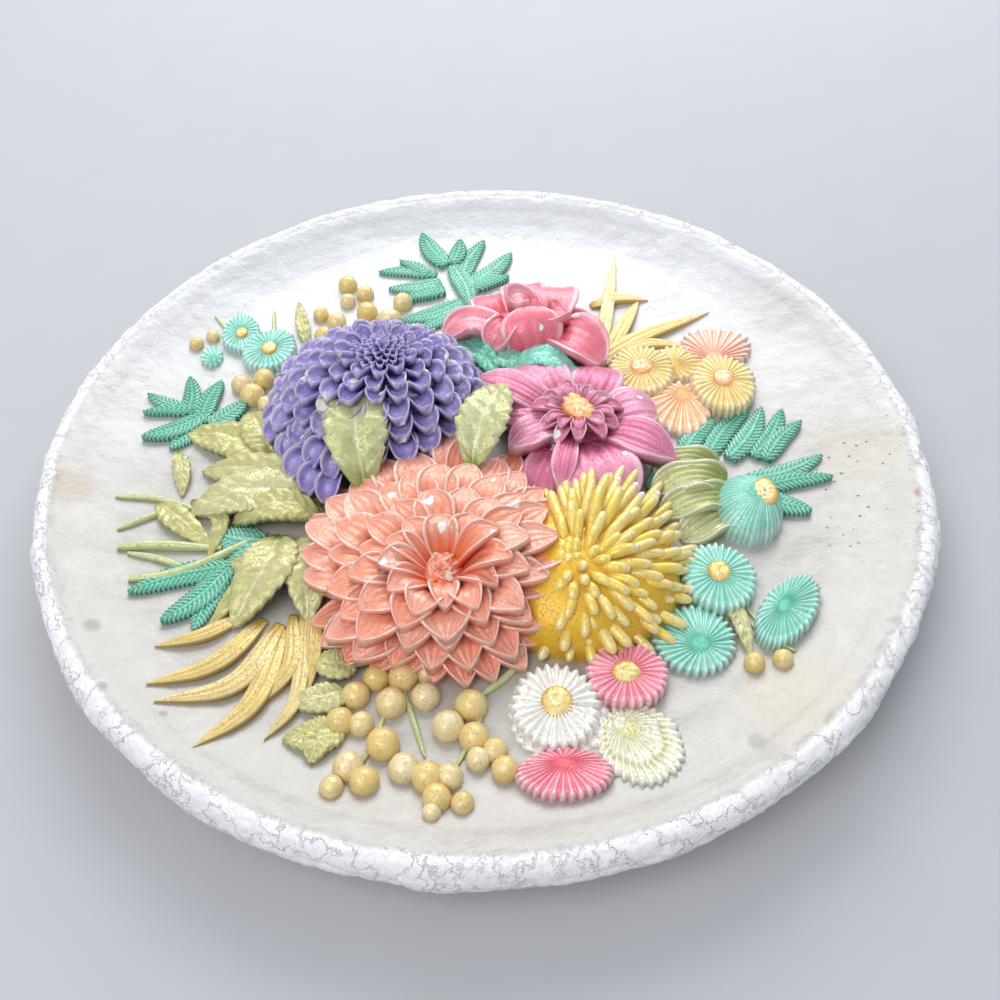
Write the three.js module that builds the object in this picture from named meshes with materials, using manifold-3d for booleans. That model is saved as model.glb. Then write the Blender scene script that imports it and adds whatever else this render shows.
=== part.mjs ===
// A round cast-plaster wall plaque with a bouquet in high relief, made in one piece.
// Sizes are in millimetres. The relief is worked out lying on its back, with u to the right, v up
// and t out from the wall; the group at the end stands it up, so that t points along -Y.

import * as THREE from 'three';
import { mergeVertices } from 'three/addons/utils/BufferGeometryUtils.js';
import Module from 'manifold-3d';

const wasm = await Module();
wasm.setup();

// ---------------------------------------------------------------- driving dimensions

const RADIUS = 175; // half the plaque's width
const BACK_RADIUS = 118; // the flat ring and disc that lie against the wall
const FIELD = 13; // thickness of the plaster at the middle of the dish
const CREST = 28; // height of the rim's crest above the wall
const DISH_SIDES = 40;
const ROOT = 4; // how far every relief figure is sunk into what carries it
const LAYER_DEPTH = 8; // how far a layer of petals reaches down into the one below
const EDGE_SINK = 0.4; // how far the edges of low leaves lie under the dish's surface
const BERRY_RISE = 1.35; // how far a berry stands out, in radii
const BERRY_SIDES = 5;
const SMOOTHING = 0.2; // facets closer than this are joined

// The section of the dish, from the middle of the back round the rim to the middle of the front.
const SECTION = [
  [0, 0],
  [BACK_RADIUS, 0],
  [RADIUS - 8, 11.5],
  [RADIUS - 1, 17],
  [RADIUS, 21],
  [RADIUS - 3, 26.5],
  [RADIUS - 9, CREST],
  [RADIUS - 17, CREST - 3],
  [RADIUS - 30, 19.5],
  [RADIUS - 58, 15.5],
  [RADIUS - 95, FIELD + 0.8],
  [0, FIELD],
];
const FRONT_START = 6; // index of the crest in SECTION

// ---------------------------------------------------------------- small tools

const vec = (u, v, t) => new THREE.Vector3(u, v, t);
const lerp = THREE.MathUtils.lerp;
const radians = THREE.MathUtils.degToRad;
const UP = vec(0, 0, 1);

/** Height of the dish's front at a distance r from its middle. */
function ground(u, v) {
  const r = Math.hypot(u, v);
  const front = SECTION.slice(FRONT_START);
  for (let i = 0; i + 1 < front.length; i++) {
    const [r1, t1] = front[i];
    const [r0, t0] = front[i + 1];
    if (r <= r1 && r >= r0) return lerp(t0, t1, (r - r0) / (r1 - r0));
  }
  return CREST;
}

/** A manifold solid from corner positions and triangles, turned right side out. */
function solidFrom(positions, triangles) {
  const make = (order) =>
    new wasm.Manifold(
      new wasm.Mesh({
        numProp: 3,
        vertProperties: Float32Array.from(positions),
        triVerts: Uint32Array.from(order),
      }),
    );
  const solid = make(triangles);
  if (solid.volume() > 0) return solid;
  const flipped = [];
  for (let i = 0; i < triangles.length; i += 3) {
    flipped.push(triangles[i], triangles[i + 2], triangles[i + 1]);
  }
  return make(flipped);
}

/** A manifold solid from a three.js geometry. */
function solidOf(geometry) {
  geometry.deleteAttribute('normal');
  geometry.deleteAttribute('uv');
  const merged = mergeVertices(geometry, 1e-4);
  const index = Array.from(merged.index.array);
  const kept = [];
  for (let i = 0; i < index.length; i += 3) {
    const [a, b, c] = index.slice(i, i + 3);
    if (a !== b && b !== c && c !== a) kept.push(a, b, c);
  }
  return solidFrom(merged.attributes.position.array, kept);
}

/** A solid drawn through rings of points; a ring of one point is a tip. */
function loft(rings) {
  const positions = [];
  const starts = [];
  for (const ring of rings) {
    starts.push(positions.length / 3);
    for (const p of ring) positions.push(p.x, p.y, p.z);
  }
  const triangles = [];
  for (let k = 0; k + 1 < rings.length; k++) {
    const near = rings[k].length;
    const far = rings[k + 1].length;
    const sides = Math.max(near, far);
    for (let i = 0; i < sides; i++) {
      const a = starts[k] + (i % near);
      const b = starts[k] + ((i + 1) % near);
      const c = starts[k + 1] + (i % far);
      const d = starts[k + 1] + ((i + 1) % far);
      if (near > 1) triangles.push(a, b, far > 1 ? d : c);
      if (far > 1) triangles.push(a, d, c);
    }
  }
  return solidFrom(positions, triangles);
}

/**
 * A petal, leaf, blade or stem: a pointed body along a spine of three or more points.
 * profile gives [half width, height of the middle over the edges] at each inner point.
 */
function blade(spine, profile, root = ROOT) {
  const rings = [[spine[0]]];
  for (let i = 1; i + 1 < spine.length; i++) {
    const along = spine[i + 1].clone().sub(spine[i - 1]).normalize();
    const side = along.clone().cross(UP).normalize();
    const out = side.clone().cross(along).normalize();
    const [half, crown] = profile[i - 1];
    const at = (s, h) => spine[i].clone().addScaledVector(side, s).addScaledVector(out, h);
    rings.push([at(-half, 0), at(0, crown), at(half, 0), at(0, -root)]);
  }
  rings.push([spine[spine.length - 1]]);
  return loft(rings);
}

/** A low round body: part of an ellipsoid, standing in the dish. */
function mound(u, v, ru, rv, top, sides = 12, rows = 3, turn = 0) {
  const foot = ground(u, v) - ROOT;
  const rings = [[vec(u, v, foot)]];
  const cos = Math.cos(radians(turn));
  const sin = Math.sin(radians(turn));
  for (let k = 0; k < rows; k++) {
    const rise = (Math.PI / 2) * (k / rows);
    const ring = [];
    for (let i = 0; i < sides; i++) {
      const a = (2 * Math.PI * i) / sides;
      const x = ru * Math.cos(a) * Math.cos(rise);
      const y = rv * Math.sin(a) * Math.cos(rise);
      ring.push(vec(u + x * cos - y * sin, v + x * sin + y * cos, lerp(foot, top, Math.sin(rise))));
    }
    rings.push(ring);
  }
  rings.push([vec(u, v, top)]);
  return loft(rings);
}

/** A berry: a few-sided bead with a flat crown. */
function berry([u, v, radius]) {
  const base = ground(u, v);
  const ring = (share, t) => {
    const points = [];
    for (let i = 0; i < BERRY_SIDES; i++) {
      const a = (2 * Math.PI * i) / BERRY_SIDES;
      points.push(vec(u + share * radius * Math.cos(a), v + share * radius * Math.sin(a), t));
    }
    return points;
  };
  const crown = base + BERRY_RISE * radius;
  const foot = base - ROOT;
  return loft([[vec(u, v, foot)], ring(1.1, foot), ring(0.6, crown), [vec(u, v, crown)]]);
}

/**
 * One layer of petals as a star-shaped body: tips and notches alternate round its edge, and the
 * middle of each petal stands over the creases beside it. A broad petal has shoulders beside its
 * tip. The edge drops straight down, as a mould needs, into the layer below.
 */
function petalLayer({ heart, outline, reach, aspect }, layer) {
  const { count, from, notch, to, low, high, crease, phase = 0, broad = 0 } = layer;
  const at = (r, a, t) => {
    const share = Math.min(1, r / reach);
    const u = lerp(heart[0], outline[0], share) + r * Math.cos(a);
    const v = lerp(heart[1], outline[1], share) + r * aspect * Math.sin(a);
    return vec(u, v, t);
  };
  const round = (onPetal, onCrease) => {
    const points = [];
    for (let i = 0; i < count; i++) {
      const a = (2 * Math.PI * (i + phase)) / count;
      const half = Math.PI / count;
      const [r, t] = onPetal;
      if (broad) points.push(at(r * broad, a - 0.6 * half, t - crease / 2));
      points.push(at(r, a, t));
      if (broad) points.push(at(r * broad, a + 0.6 * half, t - crease / 2));
      points.push(at(onCrease[0], a + half, onCrease[1]));
    }
    return points;
  };
  const foot = Math.min(low, high) - LAYER_DEPTH;
  const shoulder = lerp(low, high, (notch - from) / (to - from));
  return loft([
    [at(0, 0, foot)],
    round([to, foot], [notch, foot]),
    round([to, high], [notch, shoulder - crease]),
    round([from, low + crease / 2], [from, low - crease / 2]),
    [at(0, 0, low)],
  ]);
}

const flower = (plan) => plan.layers.map((layer) => petalLayer(plan, layer));

// ---------------------------------------------------------------- the large flowers

// Each layer: number of petals, radii of root, notch and tip, heights of root and tip, crease.
const CORAL_DAHLIA = {
  heart: [-13, -66],
  outline: [-17.5, -52],
  reach: 49,
  aspect: 1,
  layers: [
    { count: 19, from: 30, notch: 42, to: 50, low: 24, high: 20, crease: 1.6 },
    { count: 17, from: 26, notch: 36, to: 44.5, low: 29, high: 27, crease: 1.8, phase: 0.5 },
    { count: 15, from: 22, notch: 30, to: 38, low: 33, high: 33.5, crease: 2 },
    { count: 12, from: 17, notch: 23, to: 31, low: 34, high: 38, crease: 2, phase: 0.5 },
    { count: 8, from: 12, notch: 16, to: 22.5, low: 32, high: 40, crease: 2 },
    { count: 6, from: 3, notch: 5.5, to: 9, low: 36, high: 34, crease: 1 },
  ],
};

const VIOLET_DAHLIA = {
  heart: [-38, 33],
  outline: [-42.5, 25],
  reach: 45,
  aspect: 0.84,
  layers: [
    { count: 18, from: 34, notch: 40, to: 46, low: 23, high: 20, crease: 1.6 },
    { count: 16, from: 30, notch: 36.5, to: 42.5, low: 29, high: 27, crease: 1.6, phase: 0.5 },
    { count: 14, from: 24, notch: 31, to: 37, low: 35, high: 33, crease: 1.6 },
    { count: 11, from: 17, notch: 24, to: 30, low: 39, high: 38, crease: 1.4, phase: 0.5 },
    { count: 9, from: 10, notch: 16.5, to: 22, low: 42.5, high: 42, crease: 1.2 },
    { count: 6, from: 3, notch: 9, to: 13.5, low: 45, high: 44.5, crease: 1, phase: 0.5 },
  ],
};

const YELLOW_MUM = {
  heart: [33, -66],
  outline: [35, -62],
  reach: 42,
  aspect: 1,
  layers: [
    { count: 21, from: 22, notch: 33, to: 42.5, low: 25, high: 20, crease: 2 },
    { count: 18, from: 18, notch: 27, to: 37.5, low: 31, high: 27, crease: 2, phase: 0.5 },
    { count: 14, from: 12, notch: 20, to: 31, low: 36, high: 33, crease: 2 },
    { count: 9, from: 5, notch: 12, to: 22, low: 38, high: 38, crease: 1.6, phase: 0.5 },
  ],
};

const MAGENTA_FLOWER = {
  heart: [39, 10],
  outline: [38.5, 8],
  reach: 37,
  aspect: 1,
  layers: [
    { count: 9, from: 14, notch: 24, to: 38, low: 28, high: 25, crease: 2.4, broad: 0.94 },
    { count: 9, from: 7, notch: 12, to: 20, low: 29, high: 31, crease: 1.6, phase: 0.5 },
  ],
};
const MAGENTA_BUTTON = [39, 10, 6, 11.5, 34, 10, 2, 32];

// Broad cupped petals of the open rose: [u, v, turn, length, half width, height].
const ROSE_PETALS = [
  [4, 76, 120, 26, 11, 26],
  [22, 82, 90, 28, 12, 28],
  [40, 78, 62, 28, 12, 28],
  [48, 58, -30, 22, 13, 27],
  [2, 64, 190, 24, 10, 26],
  [22, 57, -95, 18, 15, 28],
  [22, 68, 60, 18, 12, 33],
];

function roseFlower() {
  const petals = ROSE_PETALS.map(([u, v, turn, length, half, t]) => {
    const du = (Math.cos(radians(turn)) * length) / 2;
    const dv = (Math.sin(radians(turn)) * length) / 2;
    const at = (share, lift) => vec(u + du * share, v + dv * share, t + lift);
    return blade([at(-1, -6), at(-0.2, 0), at(0.6, 0.5), at(1, -1.5)], [[half, 2], [half * 0.85, 2]]);
  });
  return [mound(24, 64, 30, 20, 27, 12, 2), ...petals];
}

// ---------------------------------------------------------------- small round flowers

// [u, v, half width, half height, top over the dish, turn, petals]
const DAISIES = [
  [71, 41, 13, 14, 9, 0, 10],
  [103, 30, 12.5, 15.5, 9, 0, 10],
  [87, 47, 9, 9, 5, 0, 7],
  [84, 21, 11.5, 13, 6, 0, 8],
  [106, 54, 13, 11, 3.5, -30, 8],
  [-107, 76, 7.5, 11, 4, 0, 8],
  [-94, 66, 10.5, 12, 6, -30, 8],
  [-118.5, 63, 4, 5.5, 2.5, 0, 4],
  [84, -68, 12, 13.5, 8, 0, 10],
  [71, -92, 13, 13, 5, 0, 8],
  [105, -85, 8.5, 16, 6, -36, 8],
  [21, -116, 14, 15.5, 8, 0, 12],
  [46, -107, 12.5, 11, 7, 0, 10],
  [48, -130, 12, 13.5, 3, 0, 8],
  [22.5, -141, 14.5, 8, 6, 0, 8],
];
const DAISY_SCALLOP = 0.07;

/** A daisy: a low cone with a scalloped edge. */
function daisy([u, v, ru, rv, rise, turn, petals]) {
  const base = ground(u, v);
  const cos = Math.cos(radians(turn));
  const sin = Math.sin(radians(turn));
  const edge = (t) => {
    const points = [];
    for (let i = 0; i < 2 * petals; i++) {
      const a = (Math.PI * i) / petals;
      const r = 1 + (i % 2 ? DAISY_SCALLOP : -DAISY_SCALLOP);
      const x = ru * r * Math.cos(a);
      const y = rv * r * Math.sin(a);
      points.push(vec(u + x * cos - y * sin, v + x * sin + y * cos, base + t));
    }
    return points;
  };
  const foot = -ROOT;
  return loft([[vec(u, v, base + foot)], edge(foot), edge(rise * 0.5), [vec(u, v, base + rise)]]);
}

// ---------------------------------------------------------------- berries

// [u, v, radius]
const BERRIES = [
  [-60.5, 111, 4.6], [-52, 105, 4.2], [-60, 100, 3.8], [-50.5, 92, 5], [-34, 98, 4.8],
  [-40, 86, 5.8], [-72, 91, 3.8], [-64.5, 86, 4.6], [-69.5, 76, 4.8], [-64, 70, 4.4],
  [-73, 65, 4.2], [-53, 77, 5], [-43, 77, 4.4], [-28, 77, 4.6], [-2, 75, 4.6],
  [-103.5, 46, 4.4], [-94, 49, 4.8], [-98, 39, 5.4], [-91.5, 34, 4],
  [-126, 70, 3.2], [-119.5, 75.5, 3],
  [-39, -102, 4.6], [-29.8, -102, 5.2], [-21.5, -100.5, 3.8], [-45.5, -108.5, 4.8],
  [-33.5, -112, 5.4], [-22, -110, 5], [-50, -118.5, 4.8], [-43, -119.5, 4.2],
  [-35.5, -127.5, 5.6], [-6.8, -114, 5.6], [-14.5, -121.5, 5.4], [-6, -126, 5],
  [0.5, -131, 4.2], [-5, -134, 4], [3.5, -138, 4.4], [-46, -135.5, 5], [-40.5, -141, 4.8],
  [-50.5, -143, 3.8], [-28.5, -136.5, 5], [-21, -140, 5.2], [-14, -140, 4.4],
  [-18, -147.5, 4.6], [-10, -149.5, 3.6], [-19.5, -152.3, 2.9],
  [89.5, -103.5, 3.6], [99, -103, 3.6],
];

// ---------------------------------------------------------------- leaves, blades and ferns

/** A leaf, blade or stem that lies on the dish, through two or three places. */
function spray(route, half, rise, crown) {
  const curve = new THREE.CatmullRomCurve3(route.map(([u, v]) => vec(u, v, 0)));
  const steps = route.length;
  const spine = [];
  for (let i = 0; i <= steps; i++) {
    const p = curve.getPoint(i / steps);
    const swell = Math.sin((Math.PI * i) / steps);
    spine.push(vec(p.x, p.y, ground(p.x, p.y) + rise * swell - EDGE_SINK));
  }
  const profile = spine.slice(1, -1).map(() => [half, crown]);
  return blade(spine, profile);
}

// Fern leaflets: [base u, base v, tip u, tip v, half width].
const FERN_LEAFLETS = [
  [-124, 28, -126, 49, 3.8], [-118, 24, -112, 47, 4.6], [-114, 22, -100, 35, 4.6],
  [-124, 31, -141, 38, 3.4], [-122, 30, -141, 27, 3], [-116, 27, -139, 14, 4.6],
  [-117, 20, -127, 9, 4], [-13, 124, -25, 144, 5], [-10, 124, -6, 139, 4], [-7, 112, 6, 139, 4.8],
  [-2, 110, 18, 129, 4.8], [-2, 106, 16, 113, 4], [-18, 118, -45, 120, 3.6],
  [-16, 112, -40, 108, 4], [-14, 106, -32, 100, 4], [-6, 98, -34, 86, 4.6],
  [82, -3, 97, 13, 4.4], [100, -8, 117, 17, 4.4],
  [110, -8, 125, 15, 3.8], [104, -20, 135, -11, 4.2],
  [108, -25, 136, -23, 3.8], [106, -26, 124, -38, 4.6], [80, -2, 66, -20, 5.5],
  [-96, -52, -129, -65, 4.8], [-96, -54, -115, -77, 4.8], [-96, -56, -104, -80, 4.4],
];

// Broad leaves: [places the midrib passes, half width, rise].
const LEAVES = [
  [[[-84, 2], [-102, 12], [-121, 17]], 10, 3],
  [[[-84, 4], [-92, 16], [-98, 29]], 8, 5],
  [[[-64, -20], [-88, -8], [-111, -4]], 9, 6],
  [[[-64, -23], [-90, -19], [-113, -25]], 11, 7],
  [[[-62, -28], [-80, -28], [-97, -31]], 7, 9],
  [[[-78, -37], [-80, -58], [-91, -79]], 10, 9],
  [[[-74, -40], [-66, -56], [-64, -76]], 9, 8],
  [[[-96, -48], [-88, -58], [-99, -79]], 4.5, 4],
  [[[-128, -20], [-118, -30], [-104, -42]], 5.5, 2.5],
  [[[-125, 8], [-121, -4], [-119, -17]], 3.6, 2],
  [[[-115, -19], [-102, -30], [-104, -48]], 3.6, 3],
  [[[-45, -95], [-53, -97], [-60, -93]], 6, 4],
  [[[-48, -106], [-56, -110], [-66, -111]], 5.5, 3],
  [[[-48, -120], [-56, -124], [-67, -125]], 6, 2.5],
  [[[-52, -120], [-56, -126], [-58, -133]], 5, 2.5],
  [[[-77, 72], [-80, 84], [-83, 99]], 3, 2],
  [[[92, -12], [84, -24], [88, -46]], 9, 8],
  [[[86, -76], [88, -86], [89, -100]], 3.2, 3],
];

// Leaves that climb the flowers: [u, v, t] places and half width.
const CLIMBING_LEAVES = [
  [[[-45, -22, 26], [-48, -8, 35], [-49, 8, 37], [-52, 21, 36]], 12],
  [[[-2, -16, 28], [0, -4, 35], [5, 8, 36], [11, 21, 33]], 10],
  [[[-10, 70, 17], [-2, 58, 23], [4, 48, 24], [8, 40, 22]], 6],
  [[[14, 44, 24], [26, 46, 27], [34, 42, 27], [43, 37, 25]], 6],
];

// Narrow blades of grass: [places, half width].
const GRASS = [
  [[[-88, -74], [-100, -83], [-115, -88]], 2.8],
  [[[-80, -76], [-94, -95], [-114, -104.5]], 3.8],
  [[[-74, -78], [-86, -103], [-110, -111.5]], 4.2],
  [[[-73, -80], [-79, -110], [-95, -128]], 4.2],
  [[[-70, -74], [-69, -98], [-82, -114]], 3],
  [[[-66, -70], [-65, -108], [-74, -124]], 2.8],
  [[[-63, -66], [-61, -92], [-63, -110]], 3],
  [[[48, 50], [74, 67], [106, 80]], 4],
  [[[48, 48], [74, 62], [96, 59]], 3],
  [[[54, 54], [62, 90], [69, 123]], 3],
  [[[56, 54], [68, 76], [77, 92]], 3.6],
  [[[54, 91], [66, 94], [80, 92]], 3.4],
];

// Stems: [places, half thickness].
const STEMS = [
  [[[-144, -18.5], [-128, -18.5], [-106, -26]], 1.5],
  [[[-140, -35], [-130, -28], [-120, -22]], 1.5],
  [[[-138, -44], [-124, -42], [-100, -43]], 2.2],
  [[[-134, -46], [-120, -49], [-106, -56]], 1.5],
  [[[-131, -59], [-112, -54], [-84, -36]], 2.2],
  [[[12, -96], [4, -104], [-4, -110]], 1.5],
];

// ---------------------------------------------------------------- the whole casting

function dish() {
  const section = SECTION.map(([r, t]) => new THREE.Vector2(r, t));
  const geometry = new THREE.LatheGeometry(section, DISH_SIDES);
  geometry.rotateX(Math.PI / 2);
  return solidOf(geometry);
}

function leavesAndGrass() {
  return [
    ...FERN_LEAFLETS.map(([u0, v0, u1, v1, half]) => spray([[u0, v0], [u1, v1]], half, 0, 3)),
    ...LEAVES.map(([route, half, rise]) => spray(route, half, rise, 1.4)),
    ...CLIMBING_LEAVES.map(([route, half]) =>
      blade(route.map((p) => vec(...p)), [[half, 1.2], [half * 0.8, 1.2]]),
    ),
    ...GRASS.map(([route, half]) => spray(route, half, 0, 4)),
    ...STEMS.map(([route, half]) => spray(route, half, 0, 3)),
  ];
}

function bouquet() {
  return [
    ...flower(CORAL_DAHLIA),
    ...flower(VIOLET_DAHLIA),
    ...flower(YELLOW_MUM),
    ...flower(MAGENTA_FLOWER),
    mound(...MAGENTA_BUTTON),
    ...roseFlower(),
    mound(101, -36, 13, 15.5, ground(101, -36) + 13, 12, 3),
    ...DAISIES.map(daisy),
    ...BERRIES.map(berry),
  ];
}

/** The outer skin alone: the small voids that petals close off inside are filled with plaster. */
function withoutVoids(solid) {
  const skins = solid.decompose();
  return skins.reduce((best, skin) => (skin.volume() > best.volume() ? skin : best));
}

function casting() {
  const whole = wasm.Manifold.union([dish(), ...leavesAndGrass(), ...bouquet()]);
  const mesh = withoutVoids(whole.simplify(SMOOTHING)).getMesh();
  const geometry = new THREE.BufferGeometry();
  geometry.setAttribute('position', new THREE.BufferAttribute(mesh.vertProperties, 3));
  geometry.setIndex(new THREE.BufferAttribute(mesh.triVerts, 1));
  geometry.computeVertexNormals();
  return geometry;
}

const plaster = new THREE.MeshStandardMaterial({ color: 0xe6e2d8, roughness: 0.55, metalness: 0 });
const plaque = new THREE.Mesh(casting(), plaster);
plaque.name = 'plaque';

const model = new THREE.Group();
model.rotation.x = Math.PI / 2;
model.add(plaque);
model.updateMatrixWorld(true);

export default model;
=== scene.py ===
"""A round cast-plaster wall plaque with a painted bouquet in high relief.

The relief is worked out as if the plaque lay on its back: u runs to the right, v up and t out from
the wall, in units of which the plaque's radius is 175. place() stands it up in the row frame.
"""

import math

import bpy
import numpy as np
from bpy.props import FloatProperty, FloatVectorProperty, IntProperty, PointerProperty
from mathutils import Matrix, Vector


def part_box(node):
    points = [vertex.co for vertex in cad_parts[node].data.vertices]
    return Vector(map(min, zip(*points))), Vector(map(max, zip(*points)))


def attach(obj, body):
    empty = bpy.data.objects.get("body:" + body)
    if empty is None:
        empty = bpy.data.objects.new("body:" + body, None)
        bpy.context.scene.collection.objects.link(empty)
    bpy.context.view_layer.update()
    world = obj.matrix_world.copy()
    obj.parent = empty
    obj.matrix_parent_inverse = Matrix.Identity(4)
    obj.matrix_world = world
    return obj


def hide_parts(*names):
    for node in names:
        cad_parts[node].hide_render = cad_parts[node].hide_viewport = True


bl_info = {
    "name": "Flower Relief Plaque",
    "version": (1, 0, 0),
    "blender": (4, 5, 0),
    "location": "View3D > Sidebar > Plaque",
    "description": "Makes a round plaster wall plaque with a painted bouquet in relief",
    "category": "Add Mesh",
}

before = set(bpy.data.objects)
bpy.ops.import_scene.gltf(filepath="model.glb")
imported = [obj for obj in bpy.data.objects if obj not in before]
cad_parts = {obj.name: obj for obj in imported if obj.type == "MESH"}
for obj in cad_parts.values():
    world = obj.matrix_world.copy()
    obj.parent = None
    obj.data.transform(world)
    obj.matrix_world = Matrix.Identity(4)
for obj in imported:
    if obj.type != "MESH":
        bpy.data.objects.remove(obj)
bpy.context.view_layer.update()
NODE = "plaque"
BODY = "root"
RADIUS = 175.0
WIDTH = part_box(NODE)[1].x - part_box(NODE)[0].x
UNIT = WIDTH / (2 * RADIUS)

# The dish's section, as radius and height over the wall: the back, the rim and the front.
BACK = [(0, 0), (60, 0), (118, 0), (143, 5.6), (167, 11.5), (172, 14)]
RIM = [(172, 14), (174.6, 18), (174.9, 22.5), (173.6, 26), (170.5, 27.9), (166.5, 27.6)]
RIM += [(162.5, 26.2), (158.5, 24.4)]
FRONT = [(166.5, 27.6), (158, 24.2), (150, 21.3), (142, 19.1), (130, 17.2), (117, 15.8)]
FRONT += [(98, 14.6), (80, 13.9), (40, 13.2), (0, 13)]


# ------------------------------------------------------------------ numbers over arrays


def vec(u, v, t):
    return np.array([u, v, t], float)


def smooth(x, low=0.0, high=1.0):
    """0 below low, 1 above high, and smooth between."""
    x = np.clip((np.asarray(x, float) - low) / (high - low), 0, 1)
    return x * x * (3 - 2 * x)


def bell(x, width):
    return np.exp(-((np.asarray(x, float) / width) ** 2))


def unit(a):
    return a / np.maximum(np.linalg.norm(a, axis=-1, keepdims=True), 1e-9)


def lattice(ix, iy, iz, seed):
    """A fixed pseudo-random number from -1 to 1 for each whole-number place."""
    n = (ix * 374761393 + iy * 668265263 + iz * 1442695041 + seed * 974711) & 0xFFFFFFFF
    n = ((n ^ (n >> 13)) * 1274126177) & 0xFFFFFFFF
    return ((n ^ (n >> 16)) & 0xFFFF) / 32767.5 - 1


def noise(points, scale, seed=0):
    """Smooth noise from -1 to 1 at an array of points; scale is the size of its lumps."""
    p = np.asarray(points, float) / scale
    cell = np.floor(p).astype(np.int64)
    f = p - cell
    f = f * f * (3 - 2 * f)
    total = 0
    for corner in np.ndindex(2, 2, 2):
        share = np.ones(p.shape[:-1])
        for axis, far in enumerate(corner):
            share = share * (f[..., axis] if far else 1 - f[..., axis])
        i, j, k = (cell[..., axis] + corner[axis] for axis in range(3))
        total = total + share * lattice(i, j, k, seed)
    return total


def ground(u, v):
    """Height of the dish's front over the wall."""
    radii, heights = zip(*sorted(FRONT))
    return np.interp(np.hypot(u, v), radii, heights)


def on(u, v, lift=0.0):
    """A place on the dish, lifted over it."""
    return vec(u, v, float(ground(u, v)) + lift)


def bend(a, b, c, s):
    """Points at shares s of a curve from a to c that leans towards b."""
    s = np.asarray(s, float)[:, None]
    return (1 - s) ** 2 * a + 2 * s * (1 - s) * b + s**2 * c


def through(places, count):
    """A smooth path of count points through the places."""
    p = np.array(places, float)
    if len(p) == 2:
        return p[0] + (p[1] - p[0]) * np.linspace(0, 1, count)[:, None]
    p = np.vstack([2 * p[0] - p[1], p, 2 * p[-1] - p[-2]])
    knots = np.linspace(0, len(p) - 3 - 1e-9, count)
    i = knots.astype(int)
    x = (knots - i)[:, None]
    a, b, c, d = p[i], p[i + 1], p[i + 2], p[i + 3]
    cubic = (3 * b - a - 3 * c + d) * x**3
    return 0.5 * (2 * b + (c - a) * x + (2 * a - 5 * b + 4 * c - d) * x**2 + cubic)


# ------------------------------------------------------------------ meshes

# The third field marks ridges, rims and tips, painted paler as a highlight and rubbed, and the dish's chalky rim; the
# fourth marks creases, roots and undersides, painted darker as shade, and the dish's bare back.
FIELDS = ("along", "across", "crest", "deep", "tone", "chip")


def place(points):
    """From the lying frame to the row frame, in metres."""
    p = np.asarray(points, float) * UNIT
    return np.stack([p[:, 0], -p[:, 2], p[:, 1]], -1)


class Bag:
    """Collects the points, faces and surface fields of one piece."""

    def __init__(self):
        self.points = []
        self.faces = []
        self.fields = {name: [] for name in FIELDS}
        self.count = 0

    def add(self, points, faces, **fields):
        points = np.asarray(points, float).reshape(-1, 3)
        for corners in faces:
            self.faces.append(np.asarray(corners, np.int64) + self.count)
        for name in FIELDS:
            value = np.asarray(fields.get(name, 0.0), float).ravel()
            self.fields[name].append(np.broadcast_to(value, (len(points),)))
        self.points.append(points)
        self.count += len(points)

    def chip(self, places, seed=7):
        """Marks where paint has come off: [u, v, radius] places with a ragged edge."""
        p = np.vstack(self.points)
        marks = np.concatenate(self.fields["chip"])
        for u, v, radius in places:
            away = np.hypot(p[:, 0] - u, p[:, 1] - v) / radius
            marks = np.maximum(marks, 1 - away + 0.45 * noise(p, 1.7, seed))
        self.fields["chip"] = [marks]

    def mesh(self, name):
        """A new Blender mesh of everything in the bag."""
        points = place(np.vstack(self.points))
        corners = np.concatenate([f.ravel() for f in self.faces])
        sizes = np.concatenate([np.full(len(f), f.shape[1]) for f in self.faces])
        mesh = bpy.data.meshes.new(name)
        mesh.vertices.add(len(points))
        mesh.vertices.foreach_set("co", points.ravel().astype(np.float32))
        mesh.loops.add(len(corners))
        mesh.loops.foreach_set("vertex_index", corners.astype(np.int32))
        mesh.polygons.add(len(sizes))
        starts = np.concatenate([[0], np.cumsum(sizes)[:-1]])
        mesh.polygons.foreach_set("loop_start", starts.astype(np.int32))
        mesh.polygons.foreach_set("use_smooth", np.ones(len(sizes), bool))
        mesh.update(calc_edges=True)
        for field, parts in self.fields.items():
            layer = mesh.attributes.new(field, "FLOAT", "POINT")
            layer.data.foreach_set("value", np.concatenate(parts).astype(np.float32))
        mesh.validate()
        return mesh


def grid_faces(rows, cols, closed=False):
    """Quads of a grid whose columns run to the right of the direction of its rows."""
    i = np.arange(rows - 1)[:, None]
    j = np.arange(cols if closed else cols - 1)[None, :]
    k = (j + 1) % cols
    corners = np.stack([i * cols + j, i * cols + k, (i + 1) * cols + k, (i + 1) * cols + j], -1)
    return corners.reshape(-1, 4)


def fan(corners):
    """Triangles that close a loop of corners."""
    c = np.asarray(list(corners))
    return np.stack([np.full(len(c) - 2, c[0]), c[1:-1], c[2:]], -1)


def spread(count, flare=0.45):
    """Shares from -1 to 1 across a petal, closer together towards its edges."""
    w = np.linspace(-1, 1, count)
    return (1 - flare) * w + flare * np.sin(math.pi / 2 * w)


TUCK = 0.8  # share of the width that a ribbon's underside keeps


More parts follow.
